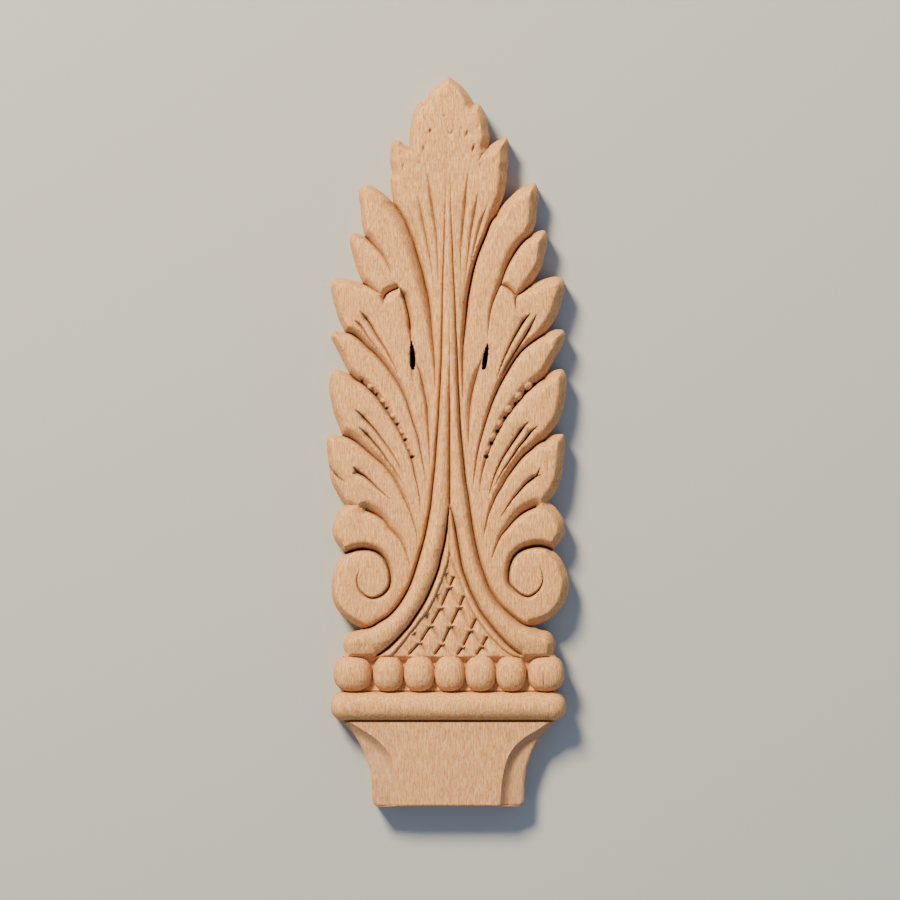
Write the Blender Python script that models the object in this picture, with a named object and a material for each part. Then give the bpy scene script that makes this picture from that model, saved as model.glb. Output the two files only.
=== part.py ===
"""Acanthus finial: a flat-backed onlay carved on the face of one beech board.

The board lies on its back. X runs across it, Y from the foot to the leaf's tip and Z up
out of the carved face. The origin is the middle of the back.

The leaf is drawn on a grid of its own, as shares of the leaf's width and height. The bead
row, the half-round moulding and the foot below it are built from real sizes.
"""
import math

import bmesh
import bpy
import numpy as np
from mathutils.geometry import delaunay_2d_cdt

for old_object in list(bpy.data.objects):
    bpy.data.objects.remove(old_object, do_unlink=True)

# Heights of the four parts of the face, from the tip down, in metres.
LEAF_HEIGHT = 0.1589
BEAD_ROW_DEPTH = 0.0097
TORUS_DEPTH = 0.0079
FOOT_HEIGHT = 0.0235

# Sizes across the board.
LEAF_WIDTH = 0.0663
CARVING_SHIFT = 0.0004
MIDDLE_BEADS = 5
BEAD_PITCH = 0.0084
BEAD_WIDTH = 0.0083
END_BEAD_WIDTH = 0.0105
TORUS_LENGTH = 0.0645
FOOT_INSET = 0.00275
FOOT_WIDTH = 0.0416
SCOOP_TOP_WIDTH = 0.0045
SCOOP_WIDTH = 0.0065
NECK_DEPTH = 0.0170

# Height of the leaf's face above the back, and what rises or drops from it. The beads, the
# moulding and the foot rise from their bed.
LEAF_FACE = 0.0100
EDGE_DROP = 0.0030
RIB_RISE = 0.0016
FIELD_DROP = 0.0008
BED_DROP = 0.0024
BEAD_RISE = 0.0042
TORUS_RISE = 0.0044
FOOT_RISE = 0.0020
SCOOP_DEPTH = 0.0020
SLOT_FLOOR = 0.0025

# Widths of the rounded edge, of small steps and of corners.
EDGE_BEVEL = 0.0022
RIB_ROUND = 0.0018
CORNER_CHAMFER = 0.0008
STEP_WIDTH = 0.0006

# Depths of the cuts.
DIVISION_DEPTH = 0.0017
VEIN_DEPTH = 0.0010
FINE_DEPTH = 0.0007
STEM_DEPTH = 0.0015
SCROLL_DEPTH = 0.0030
DENT_DEPTH = 0.0028
LATTICE_DEPTH = 0.0009

BEECH_COLOR = (0.62, 0.42, 0.26, 1.0)
BEECH_ROUGHNESS = 0.62
SHARP_ANGLE = 35.0

# The leaf's grid: x is the distance from the carving's centre line, y the height above
# the leaf's base, and each side of the leaf has its own outline.
GRID_WIDTH = 242.5
GRID_HEIGHT = 581.5
TIP = (0.0, GRID_HEIGHT)

# Each lobe's edge runs from the notch above it, where the lobe before it ended, over the
# lobe's own tip and down to the next notch.
LOBES = {
    "left": {
        "tip": [(8.5, 576), (15.5, 570.5), (20.5, 564), (26, 555)],
        "shoulder": [(30, 555.7), (32.5, 553), (36.5, 545), (39.5, 529), (40.5, 510.7)],
        "crown": [(47.5, 515), (56.5, 517), (58, 514), (60, 497), (57.5, 484.5), (59.5, 475),
                  (56.5, 455)],
        "upper": [(68.5, 466), (78.5, 472), (84.5, 473.5), (90, 468), (91, 461), (88, 435), (85, 421)],
        "slim": [(91.5, 423.5), (96.5, 424.7), (100, 417), (95.5, 397), (87, 374)],
        "eyed": [(97.5, 377.5), (106.5, 379), (115.5, 378.7), (119.2, 371), (114.5, 349), (104.7, 325)],
        "spur": [(111.5, 325.5), (115.7, 327), (119, 320), (109.5, 302), (100, 283)],
        "dotted": [(111.5, 287.7), (116.5, 286.5), (120.8, 273), (118.5, 255), (113, 236),
                   (107.5, 221.5)],
        "forked": [(116.5, 222.3), (121.5, 220), (123, 213), (120.5, 190), (117.5, 173),
                   (109.5, 158), (105, 151.5)],
        "knob": [(113.5, 141), (117.5, 127), (113.5, 114), (105, 103)],
        "volute": [(114.5, 90), (118.5, 69), (113.5, 49), (100.5, 35), (84.5, 28.5)],
        "horn": [(98.5, 24), (103.5, 20), (106.2, 14), (105.5, 4)],
    },
    "right": {
        "tip": [(5.5, 577), (11.5, 572.5), (16.5, 567), (20.5, 561.5), (24.5, 553)],
        "shoulder": [(29.5, 554), (34.5, 547), (38.5, 535), (40.3, 521), (38.5, 510)],
        "crown": [(47.5, 517), (56.5, 521), (59.3, 516), (59, 500), (57.5, 484), (55, 464), (46.5, 442)],
        "upper": [(55.5, 455), (67.5, 467), (79.5, 473.5), (85.5, 474.7), (89.2, 467), (87.3, 443),
                  (81.5, 422)],
        "slim": [(89.5, 426.5), (95.5, 427), (98.5, 420), (95, 402), (90, 386), (81.5, 372)],
        "eyed": [(95.5, 378.5), (108.5, 380.7), (113.5, 378.5), (115.5, 369), (110, 346.5), (95, 323)],
        "spur": [(103.5, 327), (114, 327), (116.2, 322), (104.5, 297), (94.5, 279)],
        "dotted": [(104.5, 286.5), (113.5, 287.5), (117.5, 278), (115.5, 255), (109.5, 236), (95.5, 217)],
        "forked": [(103.5, 222), (114, 222.5), (115.8, 216), (114.5, 195), (108.5, 169), (99.5, 155)],
        "knob": [(110.5, 144), (115.8, 130), (111.5, 116), (103.3, 106.7)],
        "volute": [(113.5, 95), (119.5, 79), (118.5, 63), (110.5, 47), (95.5, 35), (84, 30.3)],
        "horn": [(90.5, 27), (98.5, 25), (102.5, 22), (106.3, 14), (104.5, 4.5)],
    },
}

# Lines that bound the two S-shaped stem ribs and the fillet inside each of them.
RIB_OUTER = [(84, 29), (61, 40), (46, 58.5), (35, 83), (27.3, 109.5), (21, 141), (16.5, 172),
             (13, 207), (10.3, 245), (8, 295), (6.3, 357), (4, 417), (1.5, 492)]
RIB_INNER = [(76, 0), (61, 9.5), (46.5, 24.5), (33, 42.5), (22, 62.5), (14, 83), (8.3, 108),
             (3, 132), (0, 152)]
FILLET_INNER = [(59, 1.5), (39.5, 22), (27, 38.5), (17, 55), (6.5, 80.5), (0, 101)]

# Lattice lines that rise to the right. Their mirror images cross them.
LATTICE = [
    [(-41, 1), (-29.5, 14), (-18.5, 31), (-8.5, 49), (0, 70), (5, 83)],
    [(-17, 1), (-8.5, 11.5), (0, 30), (9, 49.5), (14.5, 62)],
    [(4, 1), (9, 10.5), (19, 29.5), (25.5, 41)],
    [(24, 1), (30.4, 13), (37.5, 22.5)],
]

# Punched dents: how many on each side, their length on the grid and the shares of the
# dotted lobe's lower line that they span.
DENT_COUNT = {"left": 6, "right": 7}
DENT_LENGTH = 6.0
DENT_SPAN = (0.09, 0.66)

# Spacing of the points along outlines, carved lines and the open face, in grid units. A
# cut's shoulders are followed where it has at least SHOULDER_SHARE of its width.
OUTLINE_STEP = 6.5
LINE_STEP = 12.0
SHORT_STEP = 6.0
FACE_STEP = 15.0
FACE_GAP = 5.0
MIN_GAP = 2.2
SHOULDER_SHARE = 0.4
WELD = 1e-7

# Points along the parts below the leaf. A bead's rings are shares of its half width, each
# with its count, and the moulding's rows are shares of its half depth.
BEAD_SQUARENESS = 2.4
BEAD_RINGS = [(0.0, 2), (0.5, 9), (0.8, 15), (0.97, 21), (1.08, 21)]
BEAD_END_ANGLES = (55, -60, 11)
TORUS_ROWS = (-1, -0.87, -0.5, 0, 0.5, 0.87, 1)
TORUS_END_ANGLE = 80
TORUS_END_POINTS = 9
ROW_POINTS = 24
FOOT_POINTS = 12
BEVEL_RINGS = (0.3, 1.0)


def smooth_line(points, step):
    """A centripetal spline through the points, cut into pieces about one step long."""
    knots = np.array(points, dtype=float)
    chords = np.linalg.norm(np.diff(knots, axis=0), axis=1)
    gaps = np.sqrt(chords)[:, None]
    slopes = np.diff(knots, axis=0) / gaps
    middle = (slopes[:-1] * gaps[1:] + slopes[1:] * gaps[:-1]) / (gaps[1:] + gaps[:-1])
    tangents = np.vstack([slopes[:1], middle, slopes[-1:]])
    pieces = [knots[:1]]
    for i, chord in enumerate(chords):
        t = np.linspace(0, 1, max(1, round(chord / step)) + 1)[1:, None]
        start, end = knots[i], knots[i + 1]
        pull_out, pull_in = tangents[i] * gaps[i], tangents[i + 1] * gaps[i]
        pieces.append((2 * t**3 - 3 * t**2 + 1) * start + (t**3 - 2 * t**2 + t) * pull_out
                      + (3 * t**2 - 2 * t**3) * end + (t**3 - t**2) * pull_in)
    return np.vstack(pieces)


def arc(centre, half_x, half_y, start, end, count, squareness=2.0):
    """Points along an oval between two angles in degrees: an ellipse, or squarer."""
    angle = np.radians(np.linspace(start, end, count))
    x, y = np.cos(angle), np.sin(angle)
    power = 2 / squareness
    return np.stack([centre[0] + half_x * np.sign(x) * np.abs(x)**power,
                     centre[1] + half_y * np.sign(y) * np.abs(y)**power], axis=1)


class Stack:
    """Where each part of the face starts and ends along Y, and how the grid maps onto it."""

    def __init__(self):
        total = LEAF_HEIGHT + BEAD_ROW_DEPTH + TORUS_DEPTH + FOOT_HEIGHT
        self.bed = LEAF_FACE - BED_DROP
        self.foot_bottom = -total / 2
        self.foot_top = self.foot_bottom + FOOT_HEIGHT
        self.torus_line = self.foot_top + TORUS_DEPTH / 2
        self.bead_bottom = self.foot_top + TORUS_DEPTH
        self.bead_line = self.bead_bottom + BEAD_ROW_DEPTH / 2
        self.leaf_base = self.bead_bottom + BEAD_ROW_DEPTH
        self.across = LEAF_WIDTH / GRID_WIDTH
        self.up = LEAF_HEIGHT / GRID_HEIGHT

    def to_board(self, grid):
        """Signed grid points as places on the board."""
        x = np.asarray(grid)[:, 0] * self.across + CARVING_SHIFT
        y = np.asarray(grid)[:, 1] * self.up + self.leaf_base
        return np.stack([x, y], axis=1)

    def to_grid(self, board):
        """Places on the board as signed grid points."""
        x = (board[:, 0] - CARVING_SHIFT) / self.across
        y = (board[:, 1] - self.leaf_base) / self.up
        return np.stack([x, y], axis=1)


STACK = Stack()
SIDES = {"left": -1.0, "right": 1.0}


def notch(side, lobe):
    """The notch below a lobe."""
    return LOBES[side][lobe][-1]


def leaf_edge(side):
    """One side of the leaf's outline, from its tip to the bead row, on the grid."""
    start = TIP
    pieces = [np.array([TIP])]
    for points in LOBES[side].values():
        pieces.append(smooth_line([start] + points, OUTLINE_STEP)[1:])
        start = points[-1]
    edge = np.vstack(pieces)
    edge[:, 0] *= SIDES[side]
    return edge


def neck(depth_below, half_top, half_foot):
    """The hollow side of the foot: a parabola that ends upright at the neck."""
    left_over = np.clip(1 - depth_below / NECK_DEPTH, 0, 1)
    return half_foot + (half_top - half_foot) * left_over**2


def foot_side(depth_below):
    """Half width of the foot. Its top corners lie under the moulding's rounded ends."""
    return neck(depth_below, TORUS_LENGTH / 2 - FOOT_INSET, FOOT_WIDTH / 2)


def panel_edge(depth_below):
    """Half width of the foot's flat panel, inside the scooped band."""
    half_top = TORUS_LENGTH / 2 - FOOT_INSET - SCOOP_TOP_WIDTH
    return neck(depth_below, half_top, FOOT_WIDTH / 2 - SCOOP_WIDTH)


def end_bead_place():
    """How far out the centre of each end bead lies, beyond the middle beads."""
    return MIDDLE_BEADS / 2 * BEAD_PITCH + END_BEAD_WIDTH / 2


def lower_edge(side):
    """One side of the outline below the leaf: end bead, moulding end and foot."""
    sign = SIDES[side]
    bead_centre = (end_bead_place() + sign * CARVING_SHIFT, STACK.bead_line)
    bead = arc(bead_centre, END_BEAD_WIDTH / 2, BEAD_ROW_DEPTH / 2, *BEAD_END_ANGLES, BEAD_SQUARENESS)
    radius = TORUS_DEPTH / 2
    torus_x = TORUS_LENGTH / 2 - radius
    foot_angle = math.degrees(math.acos(1 - FOOT_INSET / radius))
    torus = arc((torus_x, STACK.torus_line), radius, radius, TORUS_END_ANGLE, -foot_angle, TORUS_END_POINTS)
    below = np.linspace(0, FOOT_HEIGHT - CORNER_CHAMFER, FOOT_POINTS)
    foot = np.stack([foot_side(below), STACK.foot_top - below], axis=1)
    corner = np.array([[FOOT_WIDTH / 2 - CORNER_CHAMFER, STACK.foot_bottom]])
    edge = np.vstack([bead, torus, foot, corner])
    edge[:, 0] *= sign
    return edge


def board_outline():
    """The closed outline of the board, counter-clockwise from the tip."""
    left = np.vstack([STACK.to_board(leaf_edge("left")), lower_edge("left")])
    right = np.vstack([STACK.to_board(leaf_edge("right")), lower_edge("right")])
    return np.vstack([left, right[:0:-1]])


class Cut:
    """One tapering cut along a line: its floor, its two shoulders and its depth.

    near is the width on the side towards the foot and the outline, far the width on the
    side towards the stem. fade_in and fade_out are shares of the length over which the
    cut tapers at its two ends. hollow is 1 for a straight V and larger where the shoulder
    rounds over towards the face.
    """

    def __init__(self, points, depth, near, far, fade_in=0.0, fade_out=0.3, hollow=1.0, step=LINE_STEP):
        self.line = smooth_line(points, step)
        self.depth = depth
        self.near = near
        self.far = far
        self.fade_in = fade_in
        self.fade_out = fade_out
        self.hollow = hollow

    def taper(self, share):
        """How much of the full depth and width is left at a share of the length."""
        rise = np.ones_like(share) if self.fade_in == 0 else np.clip(share / self.fade_in, 0, 1)
        fall = np.ones_like(share) if self.fade_out == 0 else np.clip((1 - share) / self.fade_out, 0, 1)
        return np.sqrt(rise * fall)

    def along(self):
        """Share of the length at each point of the line."""
        run = np.concatenate([[0], np.cumsum(np.linalg.norm(np.diff(self.line, axis=0), axis=1))])
        return run / run[-1]

    def shoulders(self):
        """The two lines where the cut meets the face, left out where it has faded."""
        ahead = np.gradient(self.line, axis=0)
        ahead /= np.linalg.norm(ahead, axis=1)[:, None]
        left = np.stack([-ahead[:, 1], ahead[:, 0]], axis=1)
        size = self.taper(self.along())[:, None]
        wide = size[:, 0] > SHOULDER_SHARE
        return [(self.line + left * width * size)[wide] for width in (self.near, -self.far)]

    def drop(self, points):
        """Depth of the cut below the face at each point: the nearest place on the line sets
        the taper, and the distance from it, over the shoulder's width, sets the depth."""
        result = np.zeros(len(points))
        reach = max(self.near, self.far)
        low, high = self.line.min(axis=0) - reach, self.line.max(axis=0) + reach
        near_by = np.flatnonzero(np.all((points > low) & (points < high), axis=1))
        if len(near_by) == 0:
            return result
        distance, share, side = nearest(points[near_by], self.line)
        taper = self.taper(share)
        width = np.where(side > 0, self.near, self.far) * np.maximum(taper, 1e-6)
        slope = np.clip(1 - distance / width, 0, 1)
        result[near_by] = self.depth * taper * slope**self.hollow
        return result


def nearest(points, line):
    """Distance from each point to a line, the share of its length there, and the side."""
    start, step = line[:-1], np.diff(line, axis=0)
    length = np.linalg.norm(step, axis=1)
    run = np.concatenate([[0], np.cumsum(length)])
    offset = points[:, None, :] - start[None]
    t = np.clip((offset * step).sum(-1) / length**2, 0, 1)
    gap = offset - t[..., None] * step
    distance = np.linalg.norm(gap, axis=-1)
    best = distance.argmin(axis=1)
    rows = np.arange(len(points))
    cross = step[best, 0] * offset[rows, best, 1] - step[best, 1] * offset[rows, best, 0]
    share = (run[best] + t[rows, best] * length[best]) / run[-1]
    return distance[rows, best], share, cross


def division(side, lobe, points, near=2.5, far=9.0):
    """The step between two lobes: it starts in the notch below the upper lobe."""
    return Cut([notch(side, lobe)] + points, DIVISION_DEPTH, near, far, fade_out=0.5, hollow=1.4)


def vein(points, depth=VEIN_DEPTH, near=3.0, far=4.0, fade_in=0.3, fade_out=0.4):
    """A V-shaped cut in a lobe's face, tapering at both ends."""
    return Cut(points, depth, near, far, fade_in, fade_out)


def dents(line, count):
    """A row of short punched dents, evenly spaced along a line."""
    run = np.concatenate([[0], np.cumsum(np.linalg.norm(np.diff(line, axis=0), axis=1))])
    row = []
    for start in np.linspace(*DENT_SPAN, count) * run[-1]:
        ends = [[np.interp(place, run, line[:, axis]) for axis in (0, 1)]
                for place in (start, start + DENT_LENGTH)]
        row.append(Cut(ends, DENT_DEPTH, near=2.5, far=3.5, fade_out=0.8, step=DENT_LENGTH))
    return row


def divisions(side):
    """The steps between one side's lobes, from the tip down, and the dents along one."""
    dotted = division(side, "spur", [(87, 274), (75, 263), (65, 250), (54.5, 235.5), (46.5, 220.5),
                                     (38, 199.5), (32, 175), (29, 148)], far=5.0)
    steps = [
        division(side, "crown", [(37.5, 422), (30, 402), (24.7, 382), (19.7, 357), (16.2, 325),
                                 (13.7, 262)], near=8.0, far=2.0),
        division(side, "upper", [(71, 409), (60.5, 393.5), (54, 379), (47, 362), (41.5, 343),
                                 (38.3, 316)]),
        division(side, "slim", [(74.5, 366.3), (66.7, 361.3)], near=2.0, far=6.0),
        division(side, "eyed", [(85, 315), (71, 301.5), (59.5, 290), (50, 273), (42.5, 256),
                                (35.5, 234.5), (29.3, 212), (24.7, 189), (22.5, 170)], far=6.0),
        dotted,
        division(side, "dotted", [(81, 205.5), (67.5, 193), (56, 178), (45.5, 159), (37.5, 139),
                                  (32.5, 115)]),
        division(side, "forked", [(92, 153), (85, 148), (71.5, 141.5), (59, 128.5), (48, 114),
                                  (42, 98), (39, 89)]),
    ]
    return steps + dents(dotted.line, DENT_COUNT[side])


def shared_cuts():
    """The cuts that both sides of the leaf have: the curl and its slot, the fan below the
    tip, the stem's lines and the scroll."""
    slot_depth = LEAF_FACE - SLOT_FLOOR
    return [
        vein([(67, 348), (66.7, 357), (63, 365), (57, 369.5), (51, 371.5)], FINE_DEPTH, far=3.0),
        Cut([(38.2, 316), (36.4, 299), (35.6, 287)], slot_depth, 3.2, 3.2, 0.3, 0.3, step=SHORT_STEP),
        vein([(35.6, 287), (30, 284), (26.5, 277), (21.8, 252), (19.6, 208), (19, 190)], far=3.0,
             fade_in=0.1),
        vein([(21, 486), (18, 466), (15, 440), (12.5, 417), (11.3, 372)], far=3.0),
        vein([(30.7, 465.5), (22.7, 423.5), (17, 385), (15.5, 370)], far=3.0),
        vein([(39.7, 452.5), (33, 432), (27, 413), (21.5, 388)], FINE_DEPTH, far=3.0),
        Cut(RIB_OUTER, STEM_DEPTH, near=2.5, far=3.0, fade_in=0.02, fade_out=0.25),
        Cut(RIB_INNER, STEM_DEPTH, near=3.0, far=2.5, fade_in=0.05, fade_out=0.0),
        Cut(FILLET_INNER, VEIN_DEPTH, near=2.5, far=2.5, fade_in=0.1, fade_out=0.1),
        Cut([(104, 104.5), (88, 109), (72, 104.5), (61.5, 92), (60, 76), (67.5, 64), (78.5, 59.7),
             (88, 65.5), (93, 76.5), (90, 91)], SCROLL_DEPTH, near=4.0, far=6.5, fade_in=0.04,
            fade_out=0.7, step=SHORT_STEP),
    ]


# The veins and the small notch that each side's lower lobes have for themselves.
OWN_CUTS = {
    "left": [
        vein([(90.5, 347), (78.5, 332), (68.5, 315), (58.5, 298), (50.5, 282)]),
        vein([(96, 336.5), (86.5, 328), (75.5, 312), (65.5, 298)], FINE_DEPTH, far=3.0),
        vein([(95.5, 248), (79.5, 232.5), (68.5, 219), (56.5, 202), (45.5, 179)]),
        vein([(91.5, 231), (80.5, 220), (68.5, 206), (56.5, 189), (42.5, 165)]),
        vein([(94, 186), (85.5, 181), (73.5, 170), (58, 156)], far=5.0, fade_out=0.6),
        vein([(119.5, 190), (111.5, 180), (102.5, 174)], far=3.0, fade_in=0.0, fade_out=0.5),
    ],
    "right": [
        vein([(81.5, 344), (68.5, 326), (58.5, 307), (53.5, 296), (47.5, 278)]),
        vein([(88.5, 344), (79.5, 327), (67.5, 308), (57.5, 292), (49.5, 274)], far=3.0),
        vein([(80, 236), (66.5, 219), (53.5, 199), (44.5, 179), (39, 159)]),
        vein([(88.5, 231), (75.5, 217), (63.5, 201), (52.5, 185), (44.5, 169)]),
        vein([(89, 183), (75.5, 172), (63.5, 158), (50.5, 138.5)], far=5.0, fade_out=0.6),
        vein([(107.5, 177), (100.5, 173)], far=3.0, fade_in=0.0, fade_out=0.5),
    ],
}


def lattice_cuts():
    """The crossed cuts of the field between the ribs."""
    cuts = []
    for points in LATTICE:
        for sign in SIDES.values():
            mirrored = [(sign * x, y) for x, y in points]
            cuts.append(Cut(mirrored, LATTICE_DEPTH, near=4.0, far=4.0, fade_out=0.1))
    return cuts


CUTS = {side: divisions(side) + shared_cuts() + OWN_CUTS[side] for side in SIDES}
CENTRE_CUT = Cut([(0, 152), (0, 230), (0, 360)], STEM_DEPTH, near=2.5, far=2.5, fade_out=0.5)
LATTICE_CUTS = lattice_cuts()


def rounded(distance, width):
    """A quarter round: 0 at the edge, 1 from one width inwards."""
    return np.sqrt(1 - (1 - np.clip(distance / width, 0, 1))**2)


def line_at(points, height):
    """How far out a rib line lies at a height above the leaf's base."""
    line = smooth_line(points, LINE_STEP)
    order = np.argsort(line[:, 1])
    return np.interp(height, line[order, 1], line[order, 0])


def leaf_level(board):
    """The leaf's face before it is cut: ribs raised between their lines, the lattice
    field sunk. Below its outer line's start each rib runs on into the leaf's horn."""
    grid = STACK.to_grid(board)
    out, height = np.abs(grid[:, 0]), grid[:, 1]
    from_outer = np.where(height < RIB_OUTER[0][1], np.inf, line_at(RIB_OUTER, height) - out)
    from_inner = np.where(height > RIB_INNER[-1][1], np.inf, out - line_at(RIB_INNER, height))
    into_rib = np.clip(np.minimum(from_outer, from_inner), 0, None) * STACK.across
    from_fillet = np.where(height > FILLET_INNER[-1][1], 0, line_at(FILLET_INNER, height) - out)
    rib = RIB_RISE * rounded(into_rib, RIB_ROUND)
    return LEAF_FACE + rib - FIELD_DROP * rounded(from_fillet * STACK.across, STEP_WIDTH)


def leaf_drop(board):
    """The deepest cut at each place on the leaf."""
    grid = STACK.to_grid(board)
    drop = np.zeros(len(board))
    for side, sign in SIDES.items():
        chosen = np.flatnonzero(grid[:, 0] * sign >= 0)
        own = grid[chosen] * (sign, 1)
        for cut in CUTS[side]:
            drop[chosen] = np.maximum(drop[chosen], cut.drop(own))
    for cut in [CENTRE_CUT] + LATTICE_CUTS:
        drop = np.maximum(drop, cut.drop(grid))
    return drop


def bead_places():
    """Centre and half width of each bead."""
    first = -(MIDDLE_BEADS - 1) / 2
    places = [((first + i) * BEAD_PITCH, BEAD_WIDTH / 2) for i in range(MIDDLE_BEADS)]
    places += [(sign * end_bead_place(), END_BEAD_WIDTH / 2) for sign in SIDES.values()]
    return [(x + CARVING_SHIFT, half) for x, half in places]


def bead_relief(board):
    """The bead row: domes on a squarish footprint."""
    level = np.full(len(board), STACK.bed)
    for x, half in bead_places():
        share = (np.abs(board[:, 0] - x) / half)**BEAD_SQUARENESS
        share += (np.abs(board[:, 1] - STACK.bead_line) / (BEAD_ROW_DEPTH / 2))**BEAD_SQUARENESS
        level = np.maximum(level, STACK.bed + BEAD_RISE * np.sqrt(np.clip(1 - share, 0, 1)))
    return level


def torus_relief(board):
    """The half-round moulding with rounded ends, from the distance to its middle line."""
    half = TORUS_LENGTH / 2 - TORUS_DEPTH / 2
    beyond = np.clip(np.abs(board[:, 0]) - half, 0, None)
    off = np.hypot(beyond, board[:, 1] - STACK.torus_line) / (TORUS_DEPTH / 2)
    return STACK.bed + TORUS_RISE * np.sqrt(np.clip(1 - off**2, 0, 1))


def foot_relief(board):
    """The foot: a flat panel with a hollow band scooped out along each side."""
    below = STACK.foot_top - board[:, 1]
    panel, side = panel_edge(below), foot_side(below)
    share = np.clip((np.abs(board[:, 0]) - panel) / (side - panel), 0, 1)
    rise = FOOT_RISE - SCOOP_DEPTH * (1 - (1 - share)**2)
    return STACK.bed + rise * np.clip(below / STEP_WIDTH, 0, 1)


def relief(board, outline):
    """Height of the carved face above the back at each place on the board."""
    distance = nearest(board, np.vstack([outline, outline[:1]]))[0]
    y = board[:, 1]
    plateau = leaf_level(board)
    edge_drop = (plateau - LEAF_FACE + EDGE_DROP) * (1 - rounded(distance, EDGE_BEVEL))
    leaf = plateau - np.maximum(leaf_drop(board), edge_drop)
    leaf = STACK.bed + (leaf - STACK.bed) * np.clip((y - STACK.leaf_base) / STEP_WIDTH, 0, 1)
    upper = np.where(y > STACK.leaf_base, np.maximum(leaf, bead_relief(board)), bead_relief(board))
    foot = foot_relief(board) - CORNER_CHAMFER * (1 - rounded(distance, CORNER_CHAMFER))
    lower = np.where(y > STACK.foot_top, torus_relief(board), foot)
    return np.where(y > STACK.bead_bottom, upper, lower)


def guide_lines():
    """Lines that the mesh must follow: floors and shoulders of cuts, edges of the bead
    row and the moulding, and the edge of the foot's panel."""
    lines = []
    for side, sign in SIDES.items():
        for cut in CUTS[side]:
            lines += [STACK.to_board(line * (sign, 1)) for line in [cut.line] + cut.shoulders()]
    lines += [STACK.to_board(cut.line) for cut in [CENTRE_CUT] + LATTICE_CUTS]
    lines += [STACK.to_board(line) for line in CENTRE_CUT.shoulders()]
    half_torus = TORUS_LENGTH / 2 - TORUS_DEPTH / 2
    levels = [(STACK.leaf_base + STEP_WIDTH, end_bead_place()), (STACK.leaf_base, end_bead_place()),
              (STACK.foot_top - STEP_WIDTH, half_torus)]
    levels += [(STACK.torus_line + share * TORUS_DEPTH / 2, half_torus) for share in TORUS_ROWS]
    for y, half in levels:
        x = np.linspace(-half, half, ROW_POINTS)
        lines.append(np.stack([x, np.full_like(x, y)], axis=1))
    below = np.linspace(STEP_WIDTH, FOOT_HEIGHT, FOOT_POINTS)
    for sign in SIDES.values():
        lines.append(np.stack([sign * panel_edge(below), STACK.foot_top - below], axis=1))
    return lines


def bevel_ring(outline, inset):
    """Points set in from the outline, without those that come near another stretch of it."""
    ahead = np.roll(outline, -1, axis=0) - np.roll(outline, 1, axis=0)
    inward = np.stack([-ahead[:, 1], ahead[:, 0]], axis=1) / np.linalg.norm(ahead, axis=1)[:, None]
    ring = outline + inward * inset
    return ring[nearest(ring, np.vstack([outline, outline[:1]]))[0] > 0.9 * inset]


def loose_points(outline):
    """Points off the guide lines: lattice shoulders, rounded ribs, bevels and bead rings."""
    groups = [STACK.to_board(np.vstack(cut.shoulders())) for cut in LATTICE_CUTS]
    for sign in SIDES.values():
        inwards = RIB_ROUND / STACK.across
        for points, offset in ((RIB_OUTER, -inwards), (RIB_INNER, inwards)):
            groups.append(STACK.to_board((smooth_line(points, LINE_STEP) + (offset, 0)) * (sign, 1)))
    groups += [bevel_ring(outline, EDGE_BEVEL * share) for share in BEVEL_RINGS]
    for x, half in bead_places():
        for share, count in BEAD_RINGS:
            ring = arc((x, STACK.bead_line), half * share, BEAD_ROW_DEPTH / 2 * share, 0, 360, count,
                       BEAD_SQUARENESS)
            groups.append(ring[:-1])
    return np.vstack(groups)


def face_points(outline):
    """A plain grid of points over the open face."""
    low, high = outline.min(axis=0), outline.max(axis=0)
    step = FACE_STEP * STACK.up
    x, y = np.meshgrid(np.arange(low[0], high[0], step), np.arange(low[1], high[1], step))
    return np.stack([x.ravel(), y.ravel()], axis=1)


def inside(points, outline):
    """Which points lie inside a closed outline, by counting crossings."""
    a, b = outline, np.roll(outline, -1, axis=0)
    spans = (a[:, 1] > points[:, None, 1]) != (b[:, 1] > points[:, None, 1])
    rise = np.where(b[:, 1] == a[:, 1], 1.0, b[:, 1] - a[:, 1])
    crossing = a[:, 0] + (points[:, None, 1] - a[:, 1]) * (b[:, 0] - a[:, 0]) / rise
    return ((spans & (points[:, None, 0] < crossing)).sum(axis=1) % 2) == 1


def well_spaced(points, fixed, gap):
    """Loose points that keep a gap to the fixed lines and to each other."""
    far = np.full(len(points), np.inf)
    for line in fixed:
        far = np.minimum(far, nearest(points, line)[0])
    kept = np.empty((0, 2))
    for point in points[far > gap]:
        if len(kept) == 0 or np.hypot(*(kept - point).T).min() > gap:
            kept = np.vstack([kept, point])
    return kept


def clip_line(line, outline):
    """The part of a guide line that lies within the outline, its first point kept."""
    keep = inside(line, outline)
    keep[0] = keep[0] or nearest(line[:1], np.vstack([outline, outline[:1]]))[0][0] < WELD * 10
    return line[keep]


def triangulate(outline, lines, loose):
    """Constrained Delaunay triangles inside the outline."""
    points, edges = [outline], []
    total = len(outline)
    for line in lines:
        points.append(line)
        edges += [(total + i, total + i + 1) for i in range(len(line) - 1)]
        total += len(line)
    points.append(loose)
    corners = [tuple(p) for p in np.vstack(points).tolist()]
    edges += [(i, (i + 1) % len(outline)) for i in range(len(outline))]
    result = delaunay_2d_cdt(corners, edges, [], 0, WELD, False)
    flat = np.array([tuple(v) for v in result[0]])
    faces = np.array([tuple(f) for f in result[2]])
    return flat, faces[inside(flat[faces].mean(axis=1), outline)].tolist()


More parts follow.
